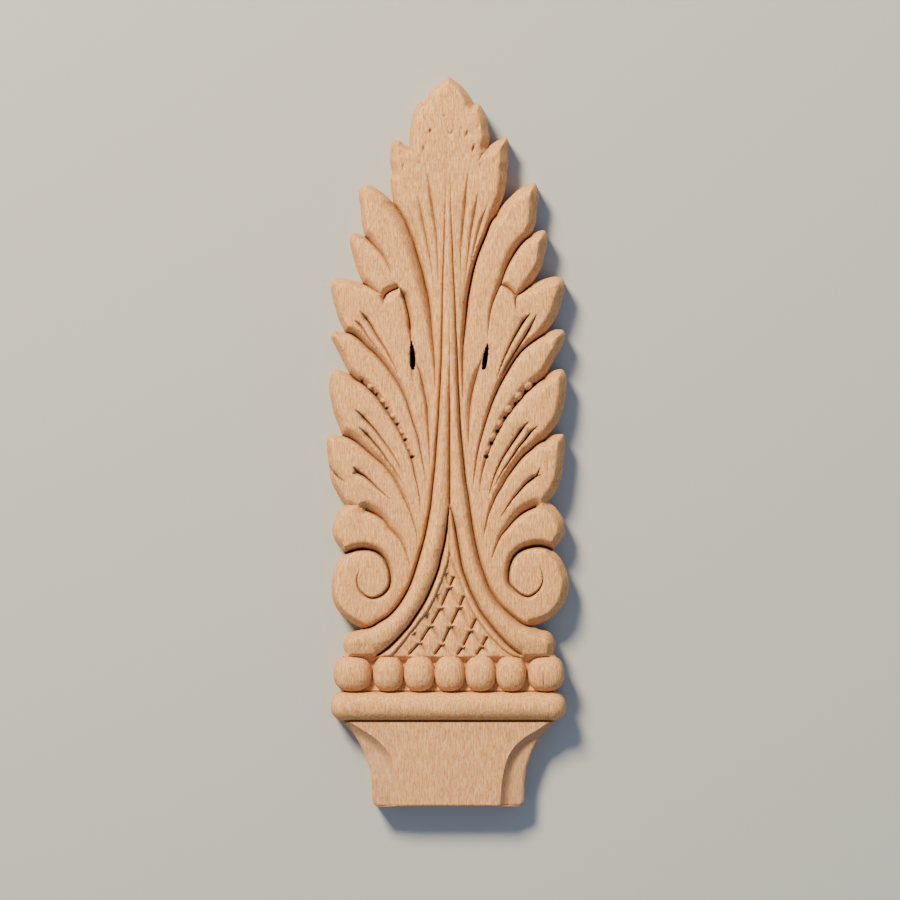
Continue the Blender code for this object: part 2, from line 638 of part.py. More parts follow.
def carved_board():
    """The whole board as one closed mesh: carved face, upright edge and flat back."""
    outline = board_outline()
    closed = np.vstack([outline, outline[:1]])
    lines = [line for line in (clip_line(line, outline) for line in guide_lines()) if len(line) > 1]
    loose = loose_points(outline)
    loose = well_spaced(loose[inside(loose, outline)], lines + [closed], MIN_GAP * STACK.up)
    face = face_points(outline)
    face = well_spaced(face[inside(face, outline)], lines + [closed, loose], FACE_GAP * STACK.up)
    loose = np.vstack([loose, face])
    flat, faces = triangulate(outline, lines, loose)
    height = relief(flat, outline)
    mesh = bmesh.new()
    top = [mesh.verts.new((x, y, z)) for (x, y), z in zip(flat.tolist(), height.tolist())]
    for face in faces:
        mesh.faces.new([top[i] for i in face])
    rim = [edge for edge in mesh.edges if edge.is_boundary]
    wall = bmesh.ops.extrude_edge_only(mesh, edges=rim)["geom"]
    for item in wall:
        if isinstance(item, bmesh.types.BMVert):
            item.co.z = 0.0
    back = [item for item in wall if isinstance(item, bmesh.types.BMEdge) and item.is_boundary]
    bmesh.ops.triangle_fill(mesh, edges=back, use_beauty=True, use_dissolve=False, normal=(0, 0, -1))
    bmesh.ops.recalc_face_normals(mesh, faces=mesh.faces)
    bmesh.ops.triangulate(mesh, faces=mesh.faces)
    return mesh


def beech():
    """Plain unfinished beech."""
    material = bpy.data.materials.new("beech")
    material.use_nodes = True
    shader = material.node_tree.nodes["Principled BSDF"]
    shader.inputs["Base Color"].default_value = BEECH_COLOR
    shader.inputs["Roughness"].default_value = BEECH_ROUGHNESS
    shader.inputs["Metallic"].default_value = 0.0
    return material


def build():
    """The finial as one object."""
    mesh = bpy.data.meshes.new("acanthus_finial")
    board = carved_board()
    board.to_mesh(mesh)
    board.free()
    mesh.shade_smooth()
    mesh.set_sharp_from_angle(angle=math.radians(SHARP_ANGLE))
    mesh.materials.append(beech())
    finial = bpy.data.objects.new("acanthus_finial", mesh)
    bpy.context.scene.collection.objects.link(finial)


build()
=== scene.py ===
"""A flat-backed onlay of unfinished beech: an acanthus leaf on a bead row, a half-round moulding
and a waisted foot, all carved on the face of one board, which lies on its back."""
import math

import bpy
import numpy as np
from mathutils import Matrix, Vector
from mathutils.geometry import delaunay_2d_cdt


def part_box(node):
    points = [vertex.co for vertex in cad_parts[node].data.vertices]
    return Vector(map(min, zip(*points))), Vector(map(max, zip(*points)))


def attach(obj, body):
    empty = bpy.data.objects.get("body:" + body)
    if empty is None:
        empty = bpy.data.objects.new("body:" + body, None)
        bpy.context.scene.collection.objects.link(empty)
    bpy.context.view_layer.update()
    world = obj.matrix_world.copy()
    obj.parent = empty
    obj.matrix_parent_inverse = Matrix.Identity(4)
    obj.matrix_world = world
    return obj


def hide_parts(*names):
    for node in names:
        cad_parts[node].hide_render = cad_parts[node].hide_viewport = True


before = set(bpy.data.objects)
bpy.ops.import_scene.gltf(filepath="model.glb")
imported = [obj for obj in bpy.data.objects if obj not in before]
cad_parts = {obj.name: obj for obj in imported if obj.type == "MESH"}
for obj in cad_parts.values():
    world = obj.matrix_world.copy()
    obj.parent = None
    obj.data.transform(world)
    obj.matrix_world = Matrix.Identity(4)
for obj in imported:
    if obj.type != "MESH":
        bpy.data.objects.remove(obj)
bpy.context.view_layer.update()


# The set: a pale floor under the board, a broad soft light from the upper left as in the
# photograph, a weak one from the other side, and a camera that looks straight down. Places on
# the carving are pixels of the photograph, with x to the right and y down.
low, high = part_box("acanthus_finial")
TOP_PIXEL = 75.5
BOTTOM_PIXEL = 807.5
PIXEL = (high.y - low.y) / (BOTTOM_PIXEL - TOP_PIXEL)
ORIGIN_PIXEL = (448.0, (TOP_PIXEL + BOTTOM_PIXEL) / 2)
PHOTO_SIZE = 900
AIM_HEIGHT = 0.010
CAMERA_AIM = Vector(((PHOTO_SIZE / 2 - ORIGIN_PIXEL[0]) * PIXEL, (ORIGIN_PIXEL[1] - PHOTO_SIZE / 2) * PIXEL,
                     AIM_HEIGHT))
CAMERA_RISE = 1.20
SENSOR = 36.0

camera_data = bpy.data.cameras.new("camera")
camera_data.sensor_width = SENSOR
camera_data.lens = SENSOR * CAMERA_RISE / (PHOTO_SIZE * PIXEL)
camera_data.clip_start = 0.05
camera = bpy.data.objects.new("camera", camera_data)
camera.location = CAMERA_AIM + Vector((0, 0, CAMERA_RISE))
bpy.context.scene.collection.objects.link(camera)
bpy.context.scene.camera = camera


def area_light(name, size, power, direction, distance, color):
    """A square light that shines on the board's middle from a direction."""
    data = bpy.data.lights.new(name, "AREA")
    data.size = size
    data.energy = power
    data.color = color
    light = bpy.data.objects.new(name, data)
    light.location = Vector(direction).normalized() * distance
    light.rotation_euler = Vector(direction).to_track_quat("Z", "Y").to_euler()
    bpy.context.scene.collection.objects.link(light)


area_light("key", 0.30, 58.0, (-0.52, 0.82, 0.86), 1.3, (1.0, 0.815, 0.50))
area_light("fill", 1.6, 3.4, (0.7, -0.7, 1.2), 1.8, (0.78, 0.89, 1.0))

world = bpy.data.worlds.new("studio")
world.use_nodes = True
sky = world.node_tree.nodes["Background"].inputs
sky["Color"].default_value = (0.80, 0.88, 1.0, 1.0)
sky["Strength"].default_value = 0.48
bpy.context.scene.world = world

floor_mesh = bpy.data.meshes.new("floor")
floor_mesh.from_pydata([(-3, -3, 0), (3, -3, 0), (3, 3, 0), (-3, 3, 0)], [], [(0, 1, 2, 3)])
floor = bpy.data.objects.new("floor", floor_mesh)
bpy.context.scene.collection.objects.link(floor)
floor_paint = bpy.data.materials.new("pale_floor")
floor_paint.use_nodes = True
paint = floor_paint.node_tree.nodes["Principled BSDF"].inputs
paint["Base Color"].default_value = (0.33, 0.36, 0.41, 1.0)
paint["Roughness"].default_value = 0.9
floor_mesh.materials.append(floor_paint)


# The leaf's edge, sawn out of the board and then chamfered by hand. Each side runs from the
# tip to the bead row, lobe by lobe, and each lobe ends in the notch that the next one starts in.
LEFT_EDGE = [
    [(448.5, 75.5), (441, 81), (434, 86.5), (429, 93), (423.5, 102)],
    [(419.5, 101.3), (417, 104), (413, 112), (411, 120), (410, 128), (409, 146.3)],
    [(402, 142), (400.5, 140), (393, 140), (391.5, 143), (390, 155), (389.5, 160), (392, 172.5),
     (390, 179), (390.5, 186), (393, 202)],
    [(386, 195), (381, 191), (371, 185), (365, 183.5), (361.5, 185.5), (359, 190), (358.5, 196),
     (360, 204), (361.5, 222), (364.5, 236)],
    [(358, 233.5), (353, 232.3), (350.5, 234.5), (349.5, 240), (351, 250), (354, 260), (357, 270),
     (362.5, 283)],
    [(352, 279.5), (343, 278), (334, 278.3), (331, 281), (330.3, 286), (332, 297), (335, 308),
     (338.5, 319), (344.8, 332)],
    [(338, 331.5), (333.8, 330), (331, 334), (330.5, 337), (334, 344), (340, 355), (345, 365),
     (349.5, 374)],
    [(344, 371.5), (338, 369.3), (333, 370.5), (330.5, 375), (328.7, 384), (329, 392), (331, 402),
     (333, 412), (336.5, 421), (342, 435.5)],
    [(337, 435.3), (333, 434.7), (328, 437), (326.5, 444), (327.5, 457), (329, 467), (330, 477),
     (332, 484), (336, 492), (340, 499), (344.5, 505.5)],
    [(340, 509), (336, 516), (333, 523), (332, 530), (333, 537), (336, 543), (340, 548),
     (344.5, 554)],
    [(340, 559), (335, 567), (332, 577), (331, 588), (332, 598), (336, 608), (341, 615), (349, 622),
     (357, 626.5), (363, 629)],
    [(360, 630.5), (351, 633), (346, 637), (343.3, 643), (343.5, 648), (344.5, 653)],
]
RIGHT_EDGE = [
    [(448.5, 75.5), (455, 80), (461, 84.5), (466, 90), (470, 95.5), (474, 104)],
    [(479, 103), (484, 110), (486.5, 116), (488, 122), (488.7, 130), (489.8, 136), (488, 147)],
    [(491, 144), (497, 140), (502, 138), (506, 136), (508.8, 141), (508.3, 150), (508.7, 163),
     (507, 169), (507.3, 176), (506, 184), (504.5, 193), (499, 208), (496, 215)],
    [(500, 208.5), (505, 202), (511, 196), (517, 190), (523, 186.5), (529, 183.5), (535, 182.3),
     (538.7, 190), (538.8, 197), (537.5, 205), (536.8, 214), (535.5, 224), (531, 235)],
    [(535, 232.5), (539, 230.5), (545, 230), (548, 237), (547, 245), (544.5, 255), (543, 263),
     (539.5, 271), (531, 285)],
    [(537, 282), (545, 278.5), (552, 276.5), (558, 276.3), (563, 278.5), (565.3, 284), (565, 290),
     (562, 300), (559.5, 310), (554.6, 320), (544.5, 334)],
    [(548, 332), (553, 330), (559, 329), (563.5, 330), (565.7, 334), (564.5, 340), (560, 350),
     (554, 360), (549, 370), (544, 378)],
    [(549, 373.5), (554, 370.5), (559, 369), (563, 369.5), (566, 374), (567, 379), (566.5, 390),
     (565, 402), (562.5, 412), (559, 421), (545, 440)],
    [(548, 438), (553, 435), (560, 434), (563.5, 434.5), (565.3, 441), (565, 452), (564, 462),
     (562.5, 472), (561, 480), (558, 488), (553.5, 496), (549, 502)],
    [(555, 507), (560, 513), (563.5, 519), (565.3, 527), (564.5, 535), (561, 541), (556, 547),
     (552.8, 550.3)],
    [(558, 555), (563, 562), (566.5, 570), (569, 578), (569.3, 586), (568, 594), (565, 603),
     (560, 610), (553, 617), (545, 622), (533.5, 626.7)],
    [(540, 630), (548, 632), (552, 635), (555.8, 643), (555, 649), (554, 653)],
]
EDGE_STEP = 1.4
CHAMFER_WIDTH = 5.5
RIGHT_CHAMFER = 8.0
CHAMFER_DROP = 0.0025
CHAMFER_WAVER = 1.5
WAVER_SIZE = 22.0
WIDENING_START = 440
WIDENING_LENGTH = 30
CHAMFER_ROUND = 0.1
BEVEL_EDGE = 3
FACE_HEIGHT = 0.0100
LOBE_CROWN = 0.0009
CROWN_REACH = 13.0
RIM_ROUND = 0.0007
RIM_WIDTH = 5.0
GOUGE_WAVES = 0.00006
WAVE_REACH = 4
SEGMENTS_AT_ONCE = 12
POINTS_AT_ONCE = 4000
NOISE_GRID = 512
NOISE_OFFSET = 100


def ramp(value, width):
    """0 at 0 and below, rising in a straight line to 1 at the width."""
    return np.clip(value / width, 0, 1)


def smooth_line(points, step):
    """A centripetal spline through the points, cut into pieces about one step long."""
    knots = np.array(points, dtype=float)
    chords = np.linalg.norm(np.diff(knots, axis=0), axis=1)
    gaps = np.sqrt(chords)[:, None]
    slopes = np.diff(knots, axis=0) / gaps
    middle = (slopes[:-1] * gaps[1:] + slopes[1:] * gaps[:-1]) / (gaps[1:] + gaps[:-1])
    tangents = np.vstack([slopes[:1], middle, slopes[-1:]])
    pieces = [knots[:1]]
    for i, chord in enumerate(chords):
        t = np.linspace(0, 1, max(1, round(chord / step)) + 1)[1:, None]
        pull_out, pull_in = tangents[i] * gaps[i], tangents[i + 1] * gaps[i]
        pieces.append((2 * t**3 - 3 * t**2 + 1) * knots[i] + (t**3 - 2 * t**2 + t) * pull_out
                      + (3 * t**2 - 2 * t**3) * knots[i + 1] + (t**3 - t**2) * pull_in)
    return np.vstack(pieces)


def nearest(points, line, reach):
    """Distance from each point to a line, the share of the line's length there, and the side: above 0 is
    to the right of someone walking along it. Distances beyond the reach are left infinite, so that each
    stretch of the line looks only at the points in its own box."""
    distance = np.full(len(points), np.inf)
    share = np.zeros(len(points))
    side = np.zeros(len(points))
    length = np.linalg.norm(np.diff(line, axis=0), axis=1)
    run = np.concatenate([[0], np.cumsum(length)])
    for first in range(0, len(line) - 1, SEGMENTS_AT_ONCE):
        piece = line[first:first + SEGMENTS_AT_ONCE + 1]
        corner, far_corner = piece.min(axis=0) - reach, piece.max(axis=0) + reach
        around = np.flatnonzero(np.all((points > corner) & (points < far_corner), axis=1))
        if len(around) == 0:
            continue
        step = np.diff(piece, axis=0)
        offset = points[around, None, :] - piece[None, :-1]
        t = np.clip((offset * step).sum(-1) / np.maximum((step**2).sum(-1), 1e-12), 0, 1)
        gap = np.linalg.norm(offset - t[..., None] * step, axis=-1)
        best = gap.argmin(axis=1)
        rows = np.arange(len(around))
        closer = gap[rows, best] < distance[around]
        rows, best, chosen = rows[closer], best[closer], around[closer]
        distance[chosen] = gap[rows, best]
        share[chosen] = (run[first + best] + t[rows, best] * length[first + best]) / run[-1]
        side[chosen] = step[best, 0] * offset[rows, best, 1] - step[best, 1] * offset[rows, best, 0]
    return distance, share, side


def leaf_side(lobes):
    """One side of the leaf's edge as one line: each lobe is smooth and the notches between them are sharp."""
    start = lobes[0][0]
    pieces = [np.array([start])]
    for i, points in enumerate(lobes):
        pieces.append(smooth_line(points if i == 0 else [start] + points, EDGE_STEP)[1:])
        start = points[-1]
    return np.vstack(pieces)


def soft_noise(points, size, seed):
    """Smooth noise from -1 to 1: random numbers on a square grid of that size, joined by an S-curve."""
    numbers = np.random.default_rng(seed).uniform(-1, 1, (NOISE_GRID, NOISE_GRID))
    place = points / np.asarray(size, dtype=float) + NOISE_OFFSET
    corner = np.floor(place).astype(int)
    t = place - corner
    t = t * t * (3 - 2 * t)
    x, y = (corner % (NOISE_GRID - 1)).T
    upper = numbers[x, y] * (1 - t[:, 0]) + numbers[x + 1, y] * t[:, 0]
    lower = numbers[x, y + 1] * (1 - t[:, 0]) + numbers[x + 1, y + 1] * t[:, 0]
    return upper * (1 - t[:, 1]) + lower * t[:, 1]


def chamfer_drop(points, distance):
    """The hand-cut chamfer: mostly a straight bevel, rounding over into the sawn edge. Its width wavers, and
    it is wider on the right half. Also returns where the bevel is, from 0 to 1: the wood's colour is darker
    there, partly as painted shade."""
    right_half = ramp(points[:, 0] - WIDENING_START, WIDENING_LENGTH)
    width = CHAMFER_WIDTH + (RIGHT_CHAMFER - CHAMFER_WIDTH) * right_half
    width += CHAMFER_WAVER * soft_noise(points, WAVER_SIZE, 3)
    t = ramp(distance, width)
    drop = CHAMFER_DROP * ((1 - CHAMFER_ROUND) * (1 - t) + CHAMFER_ROUND * (1 - np.sqrt(1 - (1 - t)**2)))
    return drop, np.clip(BEVEL_EDGE * (1 - t), 0, 1)


# The cuts between the lobes. The carver stabs along each line with a gouge and slopes one of
# the two lobes down to it, so that the lobes overlap like tiles. On most lines the lobe below
# stays high and the one above it, on the stem's side, slopes down.
CUTS = []
LINE_STEP = 1.8


class Cut:
    """One cut along a line: a narrow slit in the middle of two wider slopes. The width of each slope and the
    painted shade that darkens the colour of its bottom may be pairs, for the line's start and end. slit is
    the share of the depth that the slit takes: a cut without one is soft. bends are the powers that curve
    the right and the left slope, which are straight at 1, and bevels are the shares of the depth that the
    slopes take above an upright wall. rounds says whether the faces beside the cut are rounded over to it."""

    def __init__(self, points, depth, right, left, start=0.0, end=0.3, slit=0.3, bends=(1.15, 1.15),
                 slit_width=1.5, dark=1.0, rounds=True, bevels=(1.0, 1.0)):
        self.line = smooth_line(points, LINE_STEP)
        self.depth = depth
        self.right = np.broadcast_to(right, 2)
        self.left = np.broadcast_to(left, 2)
        self.start = start
        self.end = end
        self.slit = slit
        self.bends = bends
        self.slit_width = slit_width
        self.dark = np.broadcast_to(dark, 2)
        self.rounds = rounds
        self.bevels = bevels

    def taper(self, share):
        """How much of the depth and width is left, from 0 at a tapered end to 1."""
        rise = ramp(share, self.start) if self.start else 1.0
        fall = ramp(1 - share, self.end) if self.end else 1.0
        return (rise * fall)**TAPER_POWER

    def profile(self, points):
        """Depth of the cut below the face, how far each point lies from it (more where the cut is
        shallow), how much painted shade the wider slope gives it, and how much painted shade darkens its core
        there. The depth is a narrow V between two slopes, each a power of the nearness to the line above a
        wall."""
        distance, share, side = nearest(points, self.line, max(self.right.max(), self.left.max()) + 1)
        taper = np.maximum(self.taper(share), LEAST_TAPER)
        right = self.right[0] + (self.right[1] - self.right[0]) * share
        left = self.left[0] + (self.left[1] - self.left[0]) * share
        width, bend = np.where(side > 0, right, left), np.where(side > 0, self.bends[0], self.bends[1])
        inwards = 1 - ramp(distance, width * taper)
        slit = 1 - ramp(distance, self.slit_width * np.sqrt(taper))
        wall = 1 - ramp(distance, STEP_WALL)
        bevel = np.where(side > 0, self.bevels[0], self.bevels[1])
        sides = bevel * inwards**bend + (1 - bevel) * wall
        depth = self.depth * taper * ((1 - self.slit) * sides + self.slit * slit)
        # Painted shade: the colour darkens in the slit and in a soft skirt over the wider slope, where shade
        # falls.
        dark = (self.dark[0] + (self.dark[1] - self.dark[0]) * share) * min(1, self.depth / FULL_DARK)
        behind = (width / np.maximum(left, right))**2
        skirt = SKIRT * behind * (inwards**SKIRT_POWER if self.slit else inwards)
        painted_core = dark * taper * np.maximum(slit * (self.slit > 0), skirt)
        fade = 1 - taper * min(1, self.depth / FULL_DARK)
        return depth, distance / taper + fade * CROWN_REACH, depth * behind, painted_core


def add_cut(*shape, **manner):
    """Adds one cut to those that the face gets."""
    CUTS.append(Cut(*shape, **manner))


TAPER_POWER = 0.7
LEAST_TAPER = 1e-3
FULL_DARK = 0.0016
STEP_WALL = 0.9
SKIRT = 0.5
SKIRT_POWER = 2.2
STEP_DEPTH = 0.0026
FRONT_WIDTHS = (3.6, 5.0)
FRONT_BEND = 1.05
FRONT_BEVEL = 0.5
BACK_BEND = 1.1

LEFT_STEPS = [
    ([(364.5, 236), (370, 241), (376, 247.5), (382, 254), (387, 262), (390.5, 270), (392, 275)], (8.0, 5.0)),
    ([(362.5, 283), (368, 286), (375, 290.5), (383.5, 295.5)], (8.0, 5.0)),
    ([(344.8, 332), (352, 334), (360, 340), (368, 348), (375, 354), (388, 369), (393, 376), (399, 385),
      (403, 393), (407, 402), (410, 412), (414, 425), (418, 437), (420.5, 450), (423, 462), (425, 475),
      (427, 488)], (7.0, 4.0)),
    ([(349.5, 374), (356, 380), (361.5, 383), (376, 396.5), (386, 410.5), (396.5, 426.5), (404.5, 442),
      (411.5, 459), (415, 475), (418, 487), (420, 500), (421, 515)], (7.0, 5.0)),
    ([(342, 435.5), (348, 437.5), (355, 441.5), (362, 447), (370, 454), (377, 460), (383, 465), (389, 472),
      (395, 480), (401, 491), (406, 502), (410, 511), (414, 523), (417, 535), (418, 545)], (10.0, 5.0)),
    ([(366, 510.5), (372, 513), (379, 517), (385, 522), (390, 529), (396, 535), (401, 541), (405, 549),
      (408, 558), (411, 568)], (10.0, 6.0)),
]
RIGHT_STEPS = [
    ([(531, 235), (524, 241), (518, 248), (513, 256), (508, 265), (504, 275), (501, 284), (498, 290),
      (494, 300), (491, 310), (489.5, 320), (488.5, 330), (487.5, 340)], (8.0, 6.0)),
    ([(531, 285), (524, 291), (517, 296), (515.8, 302), (516.5, 311)], (8.0, 3.0)),
    ([(544.5, 334), (537, 339), (530, 344), (523, 350), (517, 357), (511, 366), (504, 378), (499, 388),
      (494, 399), (490, 410), (486, 422), (482.5, 434), (479, 447), (476.5, 460), (474.5, 475),
      (473, 490)], (7.0, 4.0)),
    ([(544, 378), (535, 385), (526, 393), (516, 405), (505.5, 419), (498, 432.5), (492, 444.5), (487, 457),
      (484, 467), (482, 475), (479.5, 495)], (9.5, 7.0)),
    ([(545, 440), (538, 444), (531, 450), (524, 456), (518, 463), (512, 471), (507, 478), (502, 487),
      (497, 495), (493, 504), (489, 514), (486.5, 524), (483, 540)], (10.0, 5.0)),
    ([(536, 507), (529, 510), (522, 514), (515, 520), (508, 528), (502, 535), (497, 545), (491.5, 560)],
     (10.0, 6.0)),
]
for steps, out, end, slit, dark in ((LEFT_STEPS, 1, 0.9, 0.15, (0.65, 0.3)),
                                    (RIGHT_STEPS, -1, 0.8, 0.25, (0.9, 0.55))):
    for points, back in steps:
        add_cut(points, STEP_DEPTH, *(FRONT_WIDTHS, back)[::out], end=end, slit=slit, dark=dark,
                bends=(FRONT_BEND, BACK_BEND)[::out], bevels=(FRONT_BEVEL, 1.0)[::out])

# The topmost steps slope on their outer side instead: the middle of the leaf lies over them.
add_cut([(393, 202), (398, 209), (406, 222), (410, 232), (414, 242), (417, 253), (420, 263), (423, 273),
         (425.5, 285), (428, 295), (430, 308), (432.5, 335), (434, 350), (434.8, 365), (435.5, 388)],
        STEP_DEPTH, (11.0, 6.0), 2.5, end=0.5, slit=0.1, dark=(0.25, 0.4))
add_cut([(496, 215), (491, 222), (486, 235), (481, 247), (478, 255), (475, 265), (472.5, 275), (470, 288),
         (468, 300), (466.5, 315), (465, 330), (463.5, 345), (463, 360), (463, 405)], STEP_DEPTH, (4.0, 6.0),
        3.5, end=0.5, slit=0.2, bends=(1.1, 1.1), dark=(0.6, 0.4), bevels=(1.0, FRONT_BEVEL))
add_cut([(409, 146.3), (414, 152), (416, 156)], 0.0008, 1.8, 5.0, end=0.8)
add_cut([(488, 147), (482, 155), (478.5, 163)], 0.0010, 6.0, 1.8, end=0.8)

# The knob above each scroll: a short cut along its top and another one across the step.
add_cut([(344.5, 504.5), (351, 505), (358.5, 505.5)], 0.0010, 2.5, 5.0, end=0.5, slit=0.1, dark=0.5)
add_cut([(549, 502.5), (545, 502.6), (541, 503.2)], 0.0010, 5.0, 2.5, end=0.5, slit=0.1, dark=0.5)
add_cut([(366.5, 511), (363.5, 508), (361.8, 504)], 0.0013, 3.5, 1.5, end=1.0, slit=0.1, dark=0.4,
        rounds=False)
add_cut([(535.5, 507.3), (537, 503), (537.5, 498.5)], 0.0013, 1.5, 3.5, end=1.0, slit=0.1, dark=0.4,
        rounds=False)


# The small curled leaf in the middle of each side stands in front of its neighbours, and below
# its outer edge a drilled eye is cut deep into the wood.
CURL_DEPTH = 0.0018
EYE_DEPTH = 0.0080
add_cut([(383.5, 306), (383.5, 301), (385, 296), (388, 292.5), (392, 290.3), (396, 288.7), (399.5, 287)],
        CURL_DEPTH, 3.0, 6.0, start=0.3, end=0.05, slit=0.1, dark=0.2, bends=(1.0, 1.15), bevels=(0.55, 1.0))
add_cut([(399.5, 287), (402, 293), (405, 300), (407, 308), (409, 318), (410, 330), (411, 341), (412, 349)],
        0.8 * STEP_DEPTH, 2.5, 5.0, start=0.15, end=0.35, slit=0.05, dark=0.25)
add_cut([(501, 284.5), (507, 287), (512, 291), (515.5, 295)], 0.0014, 1.8, 5.0, end=0.0, dark=0.6)
add_cut([(412, 369), (412.7, 377), (414, 387)], 0.0006, 1.8, 1.8, end=0.7, slit=0.6, dark=0.5)
add_cut([(415.5, 360), (418, 367), (420, 372), (422, 380), (424.5, 392), (427, 405), (428, 418),
         (429.3, 445), (430, 467)], 0.0013, 3.0, 5.0, start=0.25, end=0.5, slit=0.15, dark=0.4)
add_cut([(483, 356), (481, 362), (476, 378), (473, 390), (470.5, 405), (469.5, 420), (468.5, 450)], 0.0013,
        5.0, 2.5, start=0.25, end=0.5, slit=0.15, dark=0.45)
EYES = [
    ([(411.4, 340.5), (412.3, 352), (412.7, 361), (412.5, 370)], 3.1),
    ([(487.8, 343), (486.4, 352), (484.9, 361), (483.8, 370)], 2.8),
]
EYE_WALL = 1.2
EYE_SHADE = 0.86
EYE_STEP = 0.7
EYE_TAPER = 0.95
EYE_SCALE = 2.545
for points, _ in EYES:
    add_cut(points, 0.0009, 5.0, 5.0, start=0.5, end=0.2, slit=0.0, dark=0.5, rounds=False)


def inside(points, outline):
    """Which points lie inside the closed outline: those with an odd number of its edges to their right."""
    odd = np.zeros(len(points), dtype=bool)
    ends = np.roll(outline, -1, axis=0)
    for block in np.array_split(np.arange(len(points)), max(1, len(points) // POINTS_AT_ONCE)):
        y = points[block, None, 1]
        spans = (outline[:, 1] > y) != (ends[:, 1] > y)
        rise = np.where(ends[:, 1] == outline[:, 1], 1.0, ends[:, 1] - outline[:, 1])
        crossing = outline[:, 0] + (y - outline[:, 1]) * (ends[:, 0] - outline[:, 0]) / rise
        odd[block] = (spans & (points[block, None, 0] < crossing)).sum(axis=1) % 2 == 1
    return odd


def eye_ring(points, half_width):
    """A closed drop around a line: pointed at the upper end, round at the lower one. Its half width is a
    power of the share of the way along times a root of the share that is left, scaled to the maximum."""
    line = smooth_line(points, EYE_STEP)
    share = np.linspace(0, 1, len(line))
    width = half_width * EYE_SCALE * share**EYE_TAPER * np.sqrt(1 - share)
    along = np.gradient(line, axis=0)
    along /= np.linalg.norm(along, axis=1)[:, None]
    square = np.stack([along[:, 1], -along[:, 0]], axis=1) * width[:, None]
    return np.vstack([line + square, (line - square)[-2:0:-1]])


def eye_drop(points):
    """The two eyes, with steep walls just inside their rings."""
    drop = np.zeros(len(points))
    for line, half_width in EYES:
        outer, inner = eye_ring(line, half_width), eye_ring(line, half_width - EYE_WALL)
        distance, _, _ = nearest(points, np.vstack([inner, inner[:1]]), 3 * EYE_WALL)
        around = np.flatnonzero(np.isfinite(distance))
        wall = 1 - ramp(distance[around], EYE_WALL)
        drop[around] = EYE_DEPTH * wall * inside(points[around], outer)
        middle = np.flatnonzero(np.all((points > inner.min(axis=0)) & (points < inner.max(axis=0)), axis=1))
        middle = middle[inside(points[middle], inner)]
        drop[middle] = EYE_DEPTH
    return drop


# The veins of the lobes and the fan below the tip: V-tool cuts that start thin, open out and
# thin away again towards the stem.
VEIN_DEPTH = 0.0015
VEINS = [
    ([(359, 310), (365, 317), (371, 325), (376, 334), (381, 342), (386, 350), (391, 359), (399, 375)], 1.0,
     3.4, 1.8),
    ([(353.5, 320.5), (358, 323), (363, 329), (368, 337), (374, 345), (379, 352), (384, 359)], 0.7, 2.6, 1.6),
    ([(354, 409), (360, 414), (370, 424.5), (375, 430), (381, 438), (387, 446), (393, 455), (398, 463),
      (404, 478)], 1.0, 3.0, 1.8),
    ([(358, 426), (363, 431), (369, 437), (375, 444), (381, 451), (387, 460), (393, 468), (399, 477),
      (407, 492)], 1.0, 2.8, 1.8),
    ([(353, 466.2), (357.5, 472), (364, 476), (370, 481), (376, 487), (382, 492.5), (391.5, 501)], 1.3, 3.6,
     2.4),
    ([(531, 313), (524, 321), (518, 331), (513, 340), (508, 350), (503, 361), (497, 379)], 1.3, 2.6, 1.8),
    ([(538, 313), (534, 320), (529, 330), (523, 340), (517, 349), (512, 357), (507, 365), (499, 383),
      (496, 390), (492, 400), (488.5, 410), (485, 420), (482, 428)], 1.1, 2.6, 1.8),
    ([(529.5, 421), (523, 428), (516, 438), (510, 447), (503, 458), (498, 468), (494, 478),
      (488.5, 498)], 1.3, 2.6, 1.8),
    ([(538, 426), (531, 432), (525, 440), (519, 447), (513, 456), (507, 465), (502, 472), (494, 488)], 1.2,
     2.4, 1.8),
    ([(541.5, 475.2), (537, 476), (531, 480), (525, 485), (519, 492), (513, 499), (508, 506), (500, 518.5)],
     1.3, 3.6, 2.2),
]
for points, share, right, left in VEINS:
    add_cut(points, share * VEIN_DEPTH, right, left, start=0.15, end=0.85, slit=0.3, bends=(1.05, 1.05))
for points in ([(357.5, 472.3), (355, 473), (352, 474)], [(536.8, 475.8), (538.6, 472), (540, 467.5)]):
    add_cut(points, 1.2 * VEIN_DEPTH, 1.8, 1.8, end=1.0, dark=0.5, rounds=False)
FAN_WIDTH = 3.4
FAN_DEPTH = 0.0010
FAN = [
    ([(426, 168), (428.5, 180), (430, 190), (433, 208), (434.5, 218), (436, 228), (437, 240), (438, 265),
      (438.5, 285)], 1.0),
    ([(417, 193), (421, 210), (425.5, 232), (428, 245), (431.5, 265), (434, 287)], 0.9),
    ([(408.5, 205), (415, 228), (419, 242), (424, 258), (427, 268)], 0.6),
    ([(469, 170), (467.5, 180), (466.5, 192), (464.5, 215), (463, 228), (462, 240), (461, 255),
      (461, 285)], 1.0),
    ([(478.5, 190), (475, 212), (471, 235), (468, 260), (465.5, 280)], 1.0),
    ([(488, 204), (482, 220), (476.5, 240), (471.5, 260), (470, 270)], 0.9),
]
for points, share in FAN:
    add_cut(points, share * FAN_DEPTH, FAN_WIDTH, FAN_WIDTH, start=0.3, end=0.7, slit=0.1, dark=0.7)

